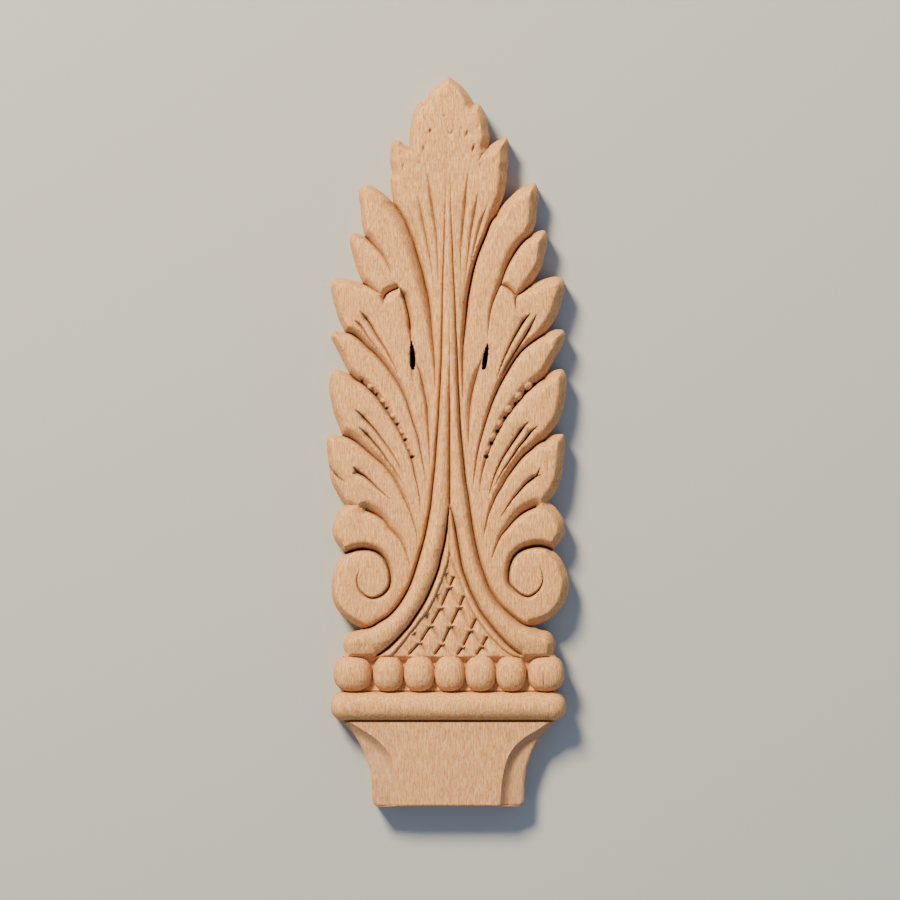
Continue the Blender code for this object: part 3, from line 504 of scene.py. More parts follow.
# Knife nicks: one across the edge of each lobe that carries the forked vein, and the small
# ones in the crown of the leaf. Three fine drying cracks run along the grain.
add_cut([(329.5, 466), (334, 472.5), (338, 477), (347, 483.5)], 0.0013, 1.5, 5.0, end=0.5)
add_cut([(561.5, 480.5), (557, 481.5), (550, 484)], 0.0008, 3.0, 1.5, end=0.5)
NICKS = [
    ([(431, 128), (429.5, 134)], 0.0009),
    ([(424.5, 144), (422.5, 153)], 0.0006),
    ([(443.5, 118), (445, 115.5), (447, 115)], 0.0004),
    ([(468, 129), (466, 138)], 0.0007),
    ([(475, 143), (472, 153)], 0.0010),
    ([(404, 161), (402.5, 171)], 0.0005),
    ([(477.5, 124), (478.5, 130)], 0.0005),
    ([(459, 127), (460.5, 134), (459.5, 140)], 0.0004),
    ([(420, 158), (419, 166)], 0.0004),
    ([(401, 150), (400, 156)], 0.0004),
    ([(436, 139), (435, 147)], 0.0003),
    ([(447, 150), (447.5, 160)], 0.0003),
    ([(455, 148), (454.5, 157)], 0.0003),
    ([(481, 160), (480, 168)], 0.0004),
    ([(452.5, 125), (453, 130), (450.5, 134), (447.5, 131), (448, 126)], 0.0004),
]
for points, depth in NICKS:
    add_cut(points, depth, 2.0, 2.0, start=0.4, end=0.4, rounds=False)
CRACKS = [
    [(544.3, 667), (543.8, 678), (544.2, 689)],
    [(550.3, 384), (549.8, 392), (550.2, 401)],
    [(548.3, 458), (548, 466), (548.4, 475)],
]
for points in CRACKS:
    add_cut(points, 0.0003, 0.7, 0.7, start=0.3, end=0.3, slit=1.0, slit_width=0.7, rounds=False)


# The pearled step on each side: the carver stabbed pits along the step and rounded what was
# left between them into small pearls.
PIT_DEPTH = 0.0032
PIT_TAIL = 4.5
PIT_SHIFT = 0.5
PIT_SLOPE = 1.1
PIT_SHADE = 1.4
TAIL_SHARE = 0.7
TAIL_WIDTH = 1.7
PEARL_FALL = 0.0010
PEARL_SHADE = 0.5
PEARL_SHADE_POWER = 4
LEFT_PITS = [(361.5, 381.5), (376, 395), (386, 409), (396.5, 425), (404.5, 440.5), (411.5, 457.5)]
RIGHT_PITS = [(535, 384.5), (526, 392), (516, 404), (505.5, 418), (498, 431.5), (492, 443.5), (487, 457)]


class PearlRow:
    """Pits along a step, and the pearls half way between them and set back from the step. away is 1 where the
    pearls lie to the right of someone walking along the pits, -1 where they lie to the left."""

    def __init__(self, pits, away, pit_radius, pearl_radius, set_back):
        pits = np.array(pits, dtype=float)
        along = np.gradient(pits, axis=0)
        along /= np.linalg.norm(along, axis=1)[:, None]
        square = away * np.stack([along[:, 1], -along[:, 0]], axis=1)
        for pit, outwards in zip(pits, square):
            add_cut([pit, pit + PIT_TAIL * outwards], TAIL_SHARE * PIT_DEPTH, TAIL_WIDTH, TAIL_WIDTH, end=1.0,
                    slit=0.0, dark=0.7, rounds=False)
        self.pits = pits + PIT_SHIFT * square
        self.pearls = (pits[1:] + pits[:-1]) / 2 + set_back * (square[1:] + square[:-1]) / 2
        self.pit_radius = pit_radius
        self.pearl_radius = pearl_radius

    def shape(self, points, drop, shaded, painted_core):
        """Each pearl is half a flattened ball on the step's slope, with less painted shade on it, and each
        pit is a cone whose colour is darkened with painted shade.
        """
        for centre in self.pearls:
            share = np.linalg.norm(points - centre, axis=1) / self.pearl_radius
            dome = PEARL_FALL * (1 - np.sqrt(1 - np.clip(share, 0, 1)**2))
            drop = np.where(share < 1, np.minimum(drop, dome), drop)
            shaded = np.where(share < 1, np.minimum(shaded, PEARL_SHADE * dome), shaded)
            painted_core = np.where(share < 1, painted_core * share**PEARL_SHADE_POWER, painted_core)
        for centre in self.pits:
            share = np.linalg.norm(points - centre, axis=1) / self.pit_radius
            drop = np.maximum(drop, PIT_DEPTH * np.clip(PIT_SLOPE * (1 - share), 0, 1))
            painted_core = np.maximum(painted_core, np.clip(PIT_SHADE - PIT_SHADE * share, 0, 1))
        return drop, shaded, painted_core


PEARL_ROWS = [PearlRow(LEFT_PITS, 1, 2.6, 3.0, 2.5), PearlRow(RIGHT_PITS, -1, 3.2, 4.2, 3.5)]


# The stem: two S-shaped ribs with a round back, a thin fillet inside each of them and, between
# the fillets, a sunk field cut into lozenges. Each side of a lozenge is one stab of the tool.
RIB_RISE = 0.0017
RIB_ROUND = 11.0
RIB_TOP = 165.0
RIB_FULL = 400.0
RIB_FOOT = 16.0
LEAF_EDGE = 656.6
CENTRE_FULL = 400.0
FILLET_RISE = 0.0006
FILLET_ROUND = 4.0
FIELD_DROP = 0.0006
FIELD_SLOPE = 3.0
STEM_DEPTH = 0.0024
FILLET_DEPTH = 0.0006
LEFT_RIB_OUTER = [
    (363, 629.5), (372, 627), (380, 622), (388, 617), (396, 609), (403, 599), (409, 588), (414, 575),
    (418, 562), (421.5, 550), (425, 537), (428, 522), (431, 505), (432.5, 490), (434.5, 472), (436, 455),
    (437, 440), (438.5, 420), (439.5, 400), (440.5, 385), (441.3, 365), (442, 340), (442.5, 310), (443, 280),
    (444, 250), (445, 220), (446, 190), (447.5, 165),
]
RIGHT_RIB_OUTER = [
    (533.5, 627.7), (524, 625), (517, 620.5), (508, 613), (500, 605), (495, 598), (489, 587), (484, 573),
    (479.5, 560), (476, 545), (473, 530), (470, 510), (468, 495), (465.5, 480), (463.5, 460), (462, 445),
    (460.5, 430), (459, 400), (458, 380), (457, 350), (456, 330), (455, 300), (454, 280), (453, 260),
    (452.5, 240), (451.5, 220), (450.7, 190), (450.5, 165),
]
LEFT_RIB_INNER = [
    (373, 657.5), (380, 654), (388, 648), (395, 641.5), (402, 634), (409, 626), (415, 617), (421, 608),
    (427, 597), (431, 588), (435, 578), (438.5, 568), (441, 557), (444, 545), (446.5, 530), (448, 515),
    (449.6, 503),
]
RIGHT_RIB_INNER = [
    (525, 657), (518, 653), (510, 647), (503, 640), (495, 631), (488, 622), (481, 612), (476, 602),
    (471, 592), (466.5, 580), (463, 570), (460, 555), (457.5, 540), (454, 520), (451, 508), (449.6, 503),
]
LEFT_FILLET = [
    (388.5, 657.5), (392, 655.5), (398, 649), (404, 642), (410, 634), (416, 627), (421, 620), (427, 613),
    (431, 606), (437.5, 592), (443, 578), (446.5, 568), (449.5, 555),
]
RIGHT_FILLET = [
    (514, 657.5), (510, 655), (503, 650), (496, 643), (489, 636), (483, 628), (477, 620), (472, 612),
    (467, 603), (463.5, 593), (460, 583), (456, 573), (452.5, 563), (449.9, 554),
]
FILLET_MEETING = [(449.7, 556), (449.7, 540), (449.6, 520), (449.6, 510)]
CENTRE_LINE = [(449.6, 503), (449.6, 450), (449.6, 400), (449.8, 350), (449.5, 300)]
add_cut(LEFT_RIB_OUTER, 0.9 * STEM_DEPTH, (2.0, 2.5), (4.5, 3.0), end=1.0, slit=0.2, dark=(0.85, 0.0))
add_cut(RIGHT_RIB_OUTER, 0.75 * STEM_DEPTH, (4.0, 2.5), (6.0, 2.5), end=1.0, slit=0.05, dark=(0.5, 0.0))
add_cut(LEFT_RIB_INNER, 0.7 * STEM_DEPTH, 2.4, 2.6, start=0.03, slit=0.3, end=0.15, slit_width=1.3,
        dark=0.65)
add_cut(RIGHT_RIB_INNER, 0.6 * STEM_DEPTH, 3.2, 3.2, start=0.03, end=0.15, slit=0.2, dark=0.5)
add_cut(LEFT_FILLET, FILLET_DEPTH, 2.4, 2.2, start=0.05, end=0.1, slit=0.0, dark=1.9)
add_cut(RIGHT_FILLET, FILLET_DEPTH, 2.4, 2.6, start=0.05, end=0.1, slit=0.0, dark=1.6)
add_cut(FILLET_MEETING, FILLET_DEPTH, 1.9, 1.9, end=0.4, slit=0.0, dark=1.5)
add_cut(CENTRE_LINE, 0.35 * STEM_DEPTH, 2.4, 2.4, end=1.0, slit=0.1, dark=(0.6, 0.2))

LATTICE_DEPTH = 0.0014
RISING_LINES = [
    [(408, 656), (420, 643), (431, 626), (441, 608), (450, 587), (454.5, 576)],
    [(434, 656), (442.5, 644.5), (451, 626), (460, 607), (465, 595)],
    [(457, 656), (463, 647.5), (471, 630.5), (477, 618)],
    [(476, 656), (482.5, 647), (488, 636)],
]
FALLING_ENDS = [((445.5, 573), (490, 656)), ((436.5, 594), (468, 656)), ((426, 614), (449, 656)),
                ((413.5, 633), (428, 656))]
FALLING_LINES = []
for i, (first, last) in enumerate(FALLING_ENDS):
    crossings = [RISING_LINES[j][4 - i - j] for j in range(4 - i)]
    FALLING_LINES.append([first] + crossings + [last])
# Each stab darkens its colour as painted shade; the falling ones paint a broad soft band of it.
for lines, depth, right, left, start, end, slit, dark in (
        (RISING_LINES, 0.9 * LATTICE_DEPTH, 2.0, 2.6, 0.15, 0.15, 0.15, 0.70),
        (FALLING_LINES, 0.6 * LATTICE_DEPTH, 4.6, 4.6, 0.08, 1.0, 0.0, 2.30)):
    for points in lines:
        for stab in zip(points[:-1], points[1:]):
            add_cut(stab, depth, right, left, start=start, end=end, slit=slit, slit_width=1.2, dark=dark)


def rib_side(line, y):
    """The x of a rib line at each height y."""
    curve = smooth_line(line, LINE_STEP)
    order = np.argsort(curve[:, 1])
    return np.interp(y, curve[order, 1], curve[order, 0])


def line_distance(points, line, reach):
    """Distance from each point to the spline through a line's points."""
    return nearest(points, smooth_line(line, LINE_STEP), reach)[0]


def round_over(distance, width):
    """A quarter round: 0 at the line, 1 from one width inwards."""
    return np.sqrt(1 - (1 - ramp(distance, width))**2)


def stem_level(points):
    """Height of the leaf's face before it is cut: a round back on each rib, from the distance to the nearer
    of its two lines, a smaller one on each fillet, and the sunk field between the fillets."""
    x, y = points[:, 0], points[:, 1]
    rise = np.zeros(len(points))
    between_ribs = y > LEFT_RIB_INNER[-1][1]
    in_field = y > LEFT_FILLET[-1][1]
    to_strip_edge = np.full(len(points), np.inf)
    for outer, inner, fillet, out in ((LEFT_RIB_OUTER, LEFT_RIB_INNER, LEFT_FILLET, -1),
                                      (RIGHT_RIB_OUTER, RIGHT_RIB_INNER, RIGHT_FILLET, 1)):
        to_outer, to_inner, to_fillet, to_centre = (
            line_distance(points, line, RIB_ROUND + 2) for line in (outer, inner, fillet, CENTRE_LINE))
        below_outer, above_inner = y > outer[0][1], y < inner[-1][1]
        to_centre += RIB_ROUND * ramp(CENTRE_FULL - y, CENTRE_FULL - CENTRE_LINE[-1][1])
        within_outer = below_outer | ((rib_side(outer, y) - x) * out > 0)
        past_inner = np.where(above_inner, (x - inner[-1][0]) * out > 0, (x - rib_side(inner, y)) * out > 0)
        depth_in = np.minimum(np.where(below_outer, np.inf, to_outer),
                              np.where(above_inner, to_centre, to_inner))
        rib = within_outer & past_inner & (y > RIB_TOP)
        fade = ramp(y - RIB_TOP, RIB_FULL - RIB_TOP)
        fade *= np.sqrt(ramp(LEAF_EDGE - y, RIB_FOOT))
        rise = np.where(rib, RIB_RISE * fade * round_over(depth_in, RIB_ROUND), rise)
        between_ribs &= ~past_inner
        in_field &= (x - rib_side(fillet, y)) * out < 0
        to_strip_edge = np.minimum(to_strip_edge, np.minimum(to_inner, to_fillet))
    rise = np.where(between_ribs, FILLET_RISE * round_over(to_strip_edge, FILLET_ROUND), rise)
    rise = np.where(between_ribs & in_field, -FIELD_DROP * ramp(to_strip_edge, FIELD_SLOPE), rise)
    return FACE_HEIGHT + rise


# The scrolls: each lobe at the foot of the leaf is rolled into a round disc by one deep spiral
# cut. The outer turn slopes down into it and the disc's own wall is upright.
SCROLL_DEPTH = 0.0034
LEFT_SCROLL = [
    (344.5, 554), (350, 552), (357, 550), (365, 549.5), (373, 551), (380, 555), (386, 562), (389, 570),
    (390, 578), (389, 586), (385, 592), (379, 596.5), (371, 598), (364, 595), (359, 589), (357, 581),
    (358, 574), (360.5, 567.5),
]
RIGHT_SCROLL = [
    (552.5, 550.5), (547, 548), (540, 546.5), (533, 547), (525, 549), (518, 553), (513, 559), (510, 567),
    (509, 576), (510, 584), (515, 590), (521, 594.5), (528, 596.5), (534, 594), (540, 588), (543, 580),
    (542.5, 574), (539.5, 564.5),
]
for points, out in ((LEFT_SCROLL, 1), (RIGHT_SCROLL, -1)):
    add_cut(points, SCROLL_DEPTH, *(2.6, 7.0)[::out], end=0.85, slit=0.3, bends=(1.3, 0.9)[::out],
            slit_width=2.6, dark=0.85)


# The bead row: round beads with squarish shoulders, left standing on a lower bed. A small web
# of wood slopes down between them from the leaf and another one rises to the moulding.
BED_HEIGHT = 0.0072
BEAD_RISE = 0.0045
BEAD_TOP = 655.6
BEAD_BOTTOM = 692.2
BEAD_SQUARENESS = 2.4
BEAD_PROFILE = 0.42
BEAD_CENTRES = [(388.2, 15.7), (419.2, 15.7), (449.8, 15.6), (480.6, 15.6), (511.2, 15.6)]
END_BEADS = [(352.6, 19.4), (546.2, 18.6)]
UPPER_WEB = 0.0020
LOWER_WEB = 0.0007
WEB_LENGTH = 6.0


def superellipse(centre, half_x, half_y, start, end, count, squareness):
    """Points along a squarish oval between two angles in degrees, measured with y down."""
    angle = np.radians(np.linspace(start, end, count))
    x, y = np.cos(angle), np.sin(angle)
    power = 2 / squareness
    return np.stack([centre[0] + half_x * np.sign(x) * np.abs(x)**power,
                     centre[1] + half_y * np.sign(y) * np.abs(y)**power], axis=1)


def bead_level(points):
    """Each bead is half an ellipsoid over a superellipse, and the webs rise to both edges of the row."""
    y = points[:, 1]
    y_share = (y - (BEAD_TOP + BEAD_BOTTOM) / 2) / ((BEAD_BOTTOM - BEAD_TOP) / 2)
    level = BED_HEIGHT + UPPER_WEB * ramp(LEAF_EDGE + WEB_LENGTH - y, WEB_LENGTH)
    level += LOWER_WEB * ramp(y - BEAD_BOTTOM + WEB_LENGTH, WEB_LENGTH)
    for x, half in BEAD_CENTRES + END_BEADS:
        share = np.abs((points[:, 0] - x) / half)**BEAD_SQUARENESS + np.abs(y_share)**BEAD_SQUARENESS
        level = np.maximum(level, BED_HEIGHT + BEAD_RISE * np.clip(1 - share, 0, 1)**BEAD_PROFILE)
    return level


# The half-round moulding below the beads: one roll across the board, a little squarer in section
# than a circle, with its ends rounded in the same way.
MOULDING_TOP = 692.2
MOULDING_BOTTOM = 721.3
MOULDING_ENDS = (330.4, 566.6)
MOULDING_RISE = 0.0044
MOULDING_SQUARENESS = 2.2


def moulding_level(points):
    """A half round from the distance to its middle line, which stops short of both ends."""
    radius = (MOULDING_BOTTOM - MOULDING_TOP) / 2
    middle = (MOULDING_BOTTOM + MOULDING_TOP) / 2
    x = points[:, 0]
    beyond = np.maximum(MOULDING_ENDS[0] + radius - x, x - MOULDING_ENDS[1] + radius)
    off = np.hypot(np.clip(beyond, 0, None), points[:, 1] - middle) / radius
    return BED_HEIGHT + MOULDING_RISE * np.sqrt(np.clip(1 - off**MOULDING_SQUARENESS, 0, 1))


# The foot: a flat panel between two hollow sides, with a band scooped out along each of them
# and a narrow chamfer along the sawn bottom edge.
LEFT_FOOT = [
    (340, 722), (350, 731), (358, 742), (363, 752), (367, 762), (370, 772), (371.5, 783), (371.9, 795),
    (373, 803.5), (376, 807.3),
]
RIGHT_FOOT = [
    (556, 722), (551.6, 725), (547.6, 730), (539.6, 740), (533.8, 750), (529.8, 760), (526.7, 770),
    (525.2, 780), (524.5, 795), (523.7, 803.5), (520.5, 807.3),
]
LEFT_PANEL = [
    (350, 722), (361, 729), (372, 736), (381, 743.5), (388.5, 753), (393, 764), (395.5, 777), (397, 790),
    (398, 808),
]
RIGHT_PANEL = [
    (549, 722), (537, 730), (526, 736.5), (516, 745), (509, 755), (504.5, 768), (501.5, 785), (500, 808),
]
FOOT_RISE = 0.0021
SCOOP_DROP = 0.0022
SOFT_SCOOP = 0.35
SCOOP_WALL = 9.0
SCOOP_POWER = 1.5
SCOOP_EDGE = 1.5
FADE_START = 755.0
FADE_LENGTH = 25.0
FOOT_CHAMFER = 2.2
FOOT_CHAMFER_DROP = 0.0005
FOOT_TONE = 0.0011
SCOOP_SHADE = 0.0019
LEFT_SCOOP_SHADE = 1.35


def foot_level(points):
    """The panel's height less the scoop, which falls fast from the panel's edge and then levels out, and the
    painted shade in the scoop, stronger on the left. The left scoop is shallower towards the bottom."""
    x, y = points[:, 0], points[:, 1]
    drop, scoop_shade = np.zeros(len(points)), np.zeros(len(points))
    for panel, out, strength in ((LEFT_PANEL, -1, SOFT_SCOOP), (RIGHT_PANEL, 1, 1.0)):
        to_panel = line_distance(points, panel, SCOOP_WALL)
        beyond = (x - rib_side(panel, y)) * out > 0
        fade = 1 - (1 - strength) * ramp(y - FADE_START, FADE_LENGTH)
        wall = 1 - (1 - ramp(to_panel, SCOOP_WALL))**SCOOP_POWER
        drop = np.where(beyond, SCOOP_DROP * fade * wall, drop)
        # Painted shade in the scoop, stronger on the left.
        tone = LEFT_SCOOP_SHADE if out < 0 else 1.0
        scoop_shade = np.where(beyond, tone * fade * ramp(to_panel, SCOOP_EDGE), scoop_shade)
    return BED_HEIGHT + FOOT_RISE - drop, scoop_shade


# The board as one closed skin: the carved face is triangulated around the carved lines, finely
# near them and more widely on open faces, then lifted, and closed with sawn sides and back.
FINEST_SPACING = 0.75
FINE_SPACING = 1.2
OPEN_SPACING = 2.1
FINEST_REACH = 6.0
FINE_REACH = 4.6
EDGE_REACH = 8.5
LEAF_BASE = 3.6
BASE_SHADE = 0.0016
BEAD_CRACK = 0.0004
LOW_REACH = 0.0013
FOOT_TOP = 1.5
FOOT_TOP_SHADE = 0.0020
FOOT_BEVEL = (3, 2)
BEAD_END_POINTS = 14
BEAD_END_ANGLES = (-62, 68)
MOULDING_END_ANGLES = (-84, 62)
CLEARANCE = 0.5
EDGE_SEARCH = 2.0
ON_EDGE = 1e-6
WELD = 1e-5
SHARP_ANGLE = 50


def lower_side(bead, sign, foot):
    """One side of the outline below the leaf: end bead, moulding end and foot."""
    middle = (BEAD_TOP + BEAD_BOTTOM) / 2
    half = (BEAD_BOTTOM - BEAD_TOP) / 2
    bead_end = superellipse((bead[0], middle), sign * bead[1], half, *BEAD_END_ANGLES, BEAD_END_POINTS,
                            BEAD_SQUARENESS)
    radius = (MOULDING_BOTTOM - MOULDING_TOP) / 2
    end = MOULDING_ENDS[0] if sign < 0 else MOULDING_ENDS[1]
    centre = (end - sign * radius, (MOULDING_BOTTOM + MOULDING_TOP) / 2)
    moulding_end = superellipse(centre, sign * radius, radius, *MOULDING_END_ANGLES, BEAD_END_POINTS,
                                MOULDING_SQUARENESS)
    return np.vstack([bead_end, moulding_end, smooth_line(foot, EDGE_STEP)])


def hexagonal_points(corner, far_corner, spacing):
    """Points in staggered rows over a rectangle."""
    rise = spacing * math.sqrt(3) / 2
    x, y = np.meshgrid(np.arange(corner[0], far_corner[0], spacing),
                       np.arange(corner[1], far_corner[1], rise))
    x[1::2] += spacing / 2
    return np.stack([x.ravel(), y.ravel()], axis=1)


def carve(points, outline):
    """Height of the face at each point: the uncut form less the deepest cut there, the lobes' rounding and
    the chamfer. Also returns the painted shade of slopes and low places, the painted shade in the cuts'
    cores, and where the bevel is."""
    x, y = points[:, 0], points[:, 1]
    edge, _, _ = nearest(points, np.vstack([outline, outline[:1]]), CROWN_REACH)
    level = stem_level(points)
    drop = eye_drop(points)
    to_cut = np.full(len(points), np.inf)
    # Painted shade darkens the colour inside the deep eyes.
    painted_core = EYE_SHADE * ramp(drop, EYE_DEPTH)
    shaded = drop.copy()
    for cut in CUTS:
        depth, distance, shade, dark = cut.profile(points)
        drop = np.maximum(drop, depth)
        shaded = np.maximum(shaded, shade)
        painted_core = np.maximum(painted_core, dark)
        if cut.rounds:
            to_cut = np.minimum(to_cut, distance)
    for row in PEARL_ROWS:
        drop, shaded, painted_core = row.shape(points, drop, shaded, painted_core)
    crown = LOBE_CROWN * (1 - ramp(np.minimum(to_cut, edge), CROWN_REACH))**2
    crown += RIM_ROUND * (1 - round_over(to_cut, RIM_WIDTH))
    chamfer, bevel = chamfer_drop(points, edge)
    chamfer += (level - FACE_HEIGHT) * (1 - round_over(edge, CHAMFER_WIDTH))
    leaf = level - crown - np.maximum(drop, chamfer)
    to_base = 1 - round_over(LEAF_EDGE - y, LEAF_BASE)
    leaf -= (leaf - BED_HEIGHT - UPPER_WEB) * to_base
    beads = bead_level(points) - np.minimum(drop, BEAD_CRACK)
    foot_edge = ramp(edge, FOOT_CHAMFER)
    foot, scoop_shade = foot_level(points)
    foot -= FOOT_CHAMFER_DROP * (1 - foot_edge)
    foot_start = ramp(y - MOULDING_BOTTOM, FOOT_TOP)
    foot = BED_HEIGHT + (foot - BED_HEIGHT) * foot_start
    bands = [y < LEAF_EDGE, y < MOULDING_TOP, y < MOULDING_BOTTOM]
    height = np.select(bands, [np.maximum(leaf, np.where(y > BEAD_TOP, beads, 0)), beads,
                               moulding_level(points)], foot)
    waves = soft_noise(points, (9.0, 16.0), 5) + 0.5 * soft_noise(points, (4.5, 8.0), 6)
    height += GOUGE_WAVES * waves * ramp(edge, WAVE_REACH)
    # Painted shade: low places, the leaf's base, the foot's top and its scoops; the whole foot is a little
    # darker.
    low_place_shade = np.clip(BED_HEIGHT + LOW_REACH - height, 0, 1)
    foot_shade = np.maximum(FOOT_TOP_SHADE * (1 - foot_start), FOOT_TONE + SCOOP_SHADE * scoop_shade)
    painted_recess = np.select(bands, [np.maximum(shaded, BASE_SHADE * to_base), low_place_shade, low_place_shade], foot_shade)
    # The bevel's darker tone, also along the foot's edge, is partly painted shade.
    return height, painted_recess, painted_core, np.where(y < LEAF_EDGE, bevel, ramp(FOOT_BEVEL[0] - edge, FOOT_BEVEL[1]))


def build_board():
    """The board's outline and its face as flat triangles: the outline, the guide lines and staggered loose
    points at three spacings, joined by a Delaunay triangulation that keeps every line."""
    left = np.vstack([leaf_side(LEFT_EDGE), lower_side(END_BEADS[0], -1, LEFT_FOOT)])
    right = np.vstack([leaf_side(RIGHT_EDGE), lower_side(END_BEADS[1], 1, RIGHT_FOOT)])
    outline = np.vstack([left, right[:0:-1]])
    closed = np.vstack([outline, outline[:1]])
    guides = [cut.line for cut in CUTS]
    for points, half_width in EYES:
        for ring in (eye_ring(points, half_width), eye_ring(points, half_width - EYE_WALL)):
            guides.append(np.vstack([ring, ring[:1]]))
    middle, half = (BEAD_TOP + BEAD_BOTTOM) / 2, (BEAD_BOTTOM - BEAD_TOP) / 2
    for x, half_width in BEAD_CENTRES + END_BEADS:
        guides.append(superellipse((x, middle), half_width, half, 0, 360, 4 * BEAD_END_POINTS,
                                   BEAD_SQUARENESS))
    for y in (LEAF_EDGE, MOULDING_TOP, MOULDING_BOTTOM, MOULDING_BOTTOM + FOOT_TOP):
        guides.append(smooth_line([(MOULDING_ENDS[0], y), (MOULDING_ENDS[1], y)], LINE_STEP))
    guides += [smooth_line(panel, LINE_STEP) for panel in (LEFT_PANEL, RIGHT_PANEL)]
    corner, far_corner = outline.min(axis=0), outline.max(axis=0)
    delicate = [LEFT_PITS, RIGHT_PITS, LEFT_FILLET, RIGHT_FILLET] + RISING_LINES + [line for line, _ in EYES]
    delicate = [smooth_line(line, LINE_STEP) for line in delicate]
    loose = []
    for spacing in (FINEST_SPACING, FINE_SPACING, OPEN_SPACING):
        points = hexagonal_points(corner, far_corner, spacing)
        to_edge, to_line, to_delicate = (
            np.minimum.reduce([nearest(points, line, reach + 1)[0] for line in lines])
            for lines, reach in (([closed], EDGE_REACH), (guides, FINE_REACH), (delicate, FINEST_REACH)))
        finest, fine = to_delicate < FINEST_REACH, (to_line < FINE_REACH) | (to_edge < EDGE_REACH)
        wanted = {FINEST_SPACING: finest, FINE_SPACING: fine & ~finest, OPEN_SPACING: ~fine & ~finest}
        points = points[wanted[spacing] & (np.minimum(to_line, to_edge) > CLEARANCE * spacing)]
        loose.append(points[inside(points, outline)])
    points, edges, total = [outline], [], len(outline)
    for line in guides:
        kept = inside(line, outline) | (nearest(line, closed, EDGE_SEARCH)[0] < ON_EDGE)
        number = total + np.cumsum(kept) - 1
        edges += [(number[i], number[i + 1]) for i in np.flatnonzero(kept[:-1] & kept[1:])]
        points.append(line[kept])
        total += kept.sum()
    points += loose
    edges += [(i, (i + 1) % len(outline)) for i in range(len(outline))]
    flat, _, faces, _, _, _ = delaunay_2d_cdt(np.vstack(points).tolist(), np.array(edges).tolist(), [], 0,
                                              WELD, False)
    flat = np.array([tuple(v) for v in flat])
    faces = np.array([tuple(f) for f in faces])
    faces = faces[inside(flat[faces].mean(axis=1), outline)]
    return outline, flat, faces


outline, flat, faces = build_board()
height, painted_recess, painted_core, bevel = carve(flat, outline)


def to_board(points, z):
    """Photograph pixels and heights as places on the board, in metres."""
    return np.stack([(points[:, 0] - ORIGIN_PIXEL[0]) * PIXEL, (ORIGIN_PIXEL[1] - points[:, 1]) * PIXEL,
                     np.broadcast_to(z, len(points))], axis=1)


def turned(triangles, flat, down):
    """The triangles with the corners of each in the order that faces it up, or down: the sign of twice its
    area says which way round it is."""
    a, b, c = (flat[triangles[:, k]] for k in range(3))
    area = (b[:, 0] - a[:, 0]) * (c[:, 1] - a[:, 1]) - (b[:, 1] - a[:, 1]) * (c[:, 0] - a[:, 0])
    return np.where((area > 0)[:, None] != down, triangles[:, ::-1], triangles)


def board_mesh(outline, flat, faces, height, shades):
    """The face's triangles, a wall down from its rim, and the back as one triangulated sheet."""
    used = np.unique(faces)
    renumber = np.full(len(flat), -1)
    renumber[used] = np.arange(len(used))
    flat, height = flat[used], height[used]
    faces = turned(renumber[faces], flat, False)
    half_edges = np.vstack([faces[:, [0, 1]], faces[:, [1, 2]], faces[:, [2, 0]]])
    keys = np.sort(half_edges, axis=1)
    _, first, count = np.unique(keys, axis=0, return_index=True, return_counts=True)
    rim = half_edges[first[count == 1]]
    rim_points = np.unique(rim)
    below = np.full(len(flat), -1)
    below[rim_points] = len(flat) + np.arange(len(rim_points))
    walls = np.vstack([np.stack([rim[:, 1], rim[:, 0], below[rim[:, 0]]], axis=1),
                       np.stack([rim[:, 1], below[rim[:, 0]], below[rim[:, 1]]], axis=1)])
    place = {int(p): i for i, p in enumerate(rim_points)}
    back_edges = [(place[int(p)], place[int(q)]) for p, q in rim]
    _, _, back, origin, _, _ = delaunay_2d_cdt(flat[rim_points].tolist(), back_edges, [], 0, WELD, True)
    back_of = np.array([ids[0] for ids in origin])
    back = rim_points[back_of[np.array([tuple(f) for f in back])]]
    back = back[inside(flat[back].mean(axis=1), outline)]
    back = below[turned(back, flat, True)]
    corners = np.vstack([to_board(flat, height), to_board(flat[rim_points], 0.0)])
    triangles = np.vstack([faces, walls, back])
    mesh = bpy.data.meshes.new("carved_board")
    mesh.from_pydata(corners.tolist(), [], triangles.tolist())
    mesh.validate()
    for name, values in shades.items():
        shade = mesh.attributes.new(name, "FLOAT", "POINT")
        shade.data.foreach_set("value",
                               np.concatenate([values[used], np.zeros(len(rim_points))]).astype(np.float32))
    mesh.shade_smooth()
    mesh.set_sharp_from_angle(angle=math.radians(SHARP_ANGLE))
    return mesh


mesh = board_mesh(outline, flat, faces, height, {"painted_recess": painted_recess, "painted_core": painted_core, "bevel": bevel})
board = bpy.data.objects.new("carved_board", mesh)
bpy.context.scene.collection.objects.link(board)


# The wood: unfinished beech, straight-grained along the board, matte, with short brown flecks,
# painted shade in the cuts and low places, and a darker tone on the chamfers that is partly painted shade.
class Value:
    """A socket of a material's nodes. Sums and products of values add Math nodes."""

    def __init__(self, tree, socket):
        self.tree = tree
        self.socket = socket

    def math(self, operation, *others):
        """The result of a Math node that takes this value first."""
        node = self.tree.nodes.new("ShaderNodeMath")
        node.operation = operation
        for slot, item in zip(node.inputs, (self,) + others):
            if isinstance(item, Value):
                self.tree.links.new(item.socket, slot)
            else:
                slot.default_value = item
        return Value(self.tree, node.outputs[0])

    def __add__(self, other):
        return self.math("ADD", other)

    __radd__ = __add__

    def __mul__(self, other):
        return self.math("MULTIPLY", other)

    def __sub__(self, other):
        return self.math("SUBTRACT", other)

    def between(self, low_end, high_end):
        """0 at or below the low end, 1 at or above the high end."""
        return Shader.add_to(self.tree, "ShaderNodeMapRange", {"clamp": True}, {
            "Value": self, "From Min": low_end, "From Max": high_end})


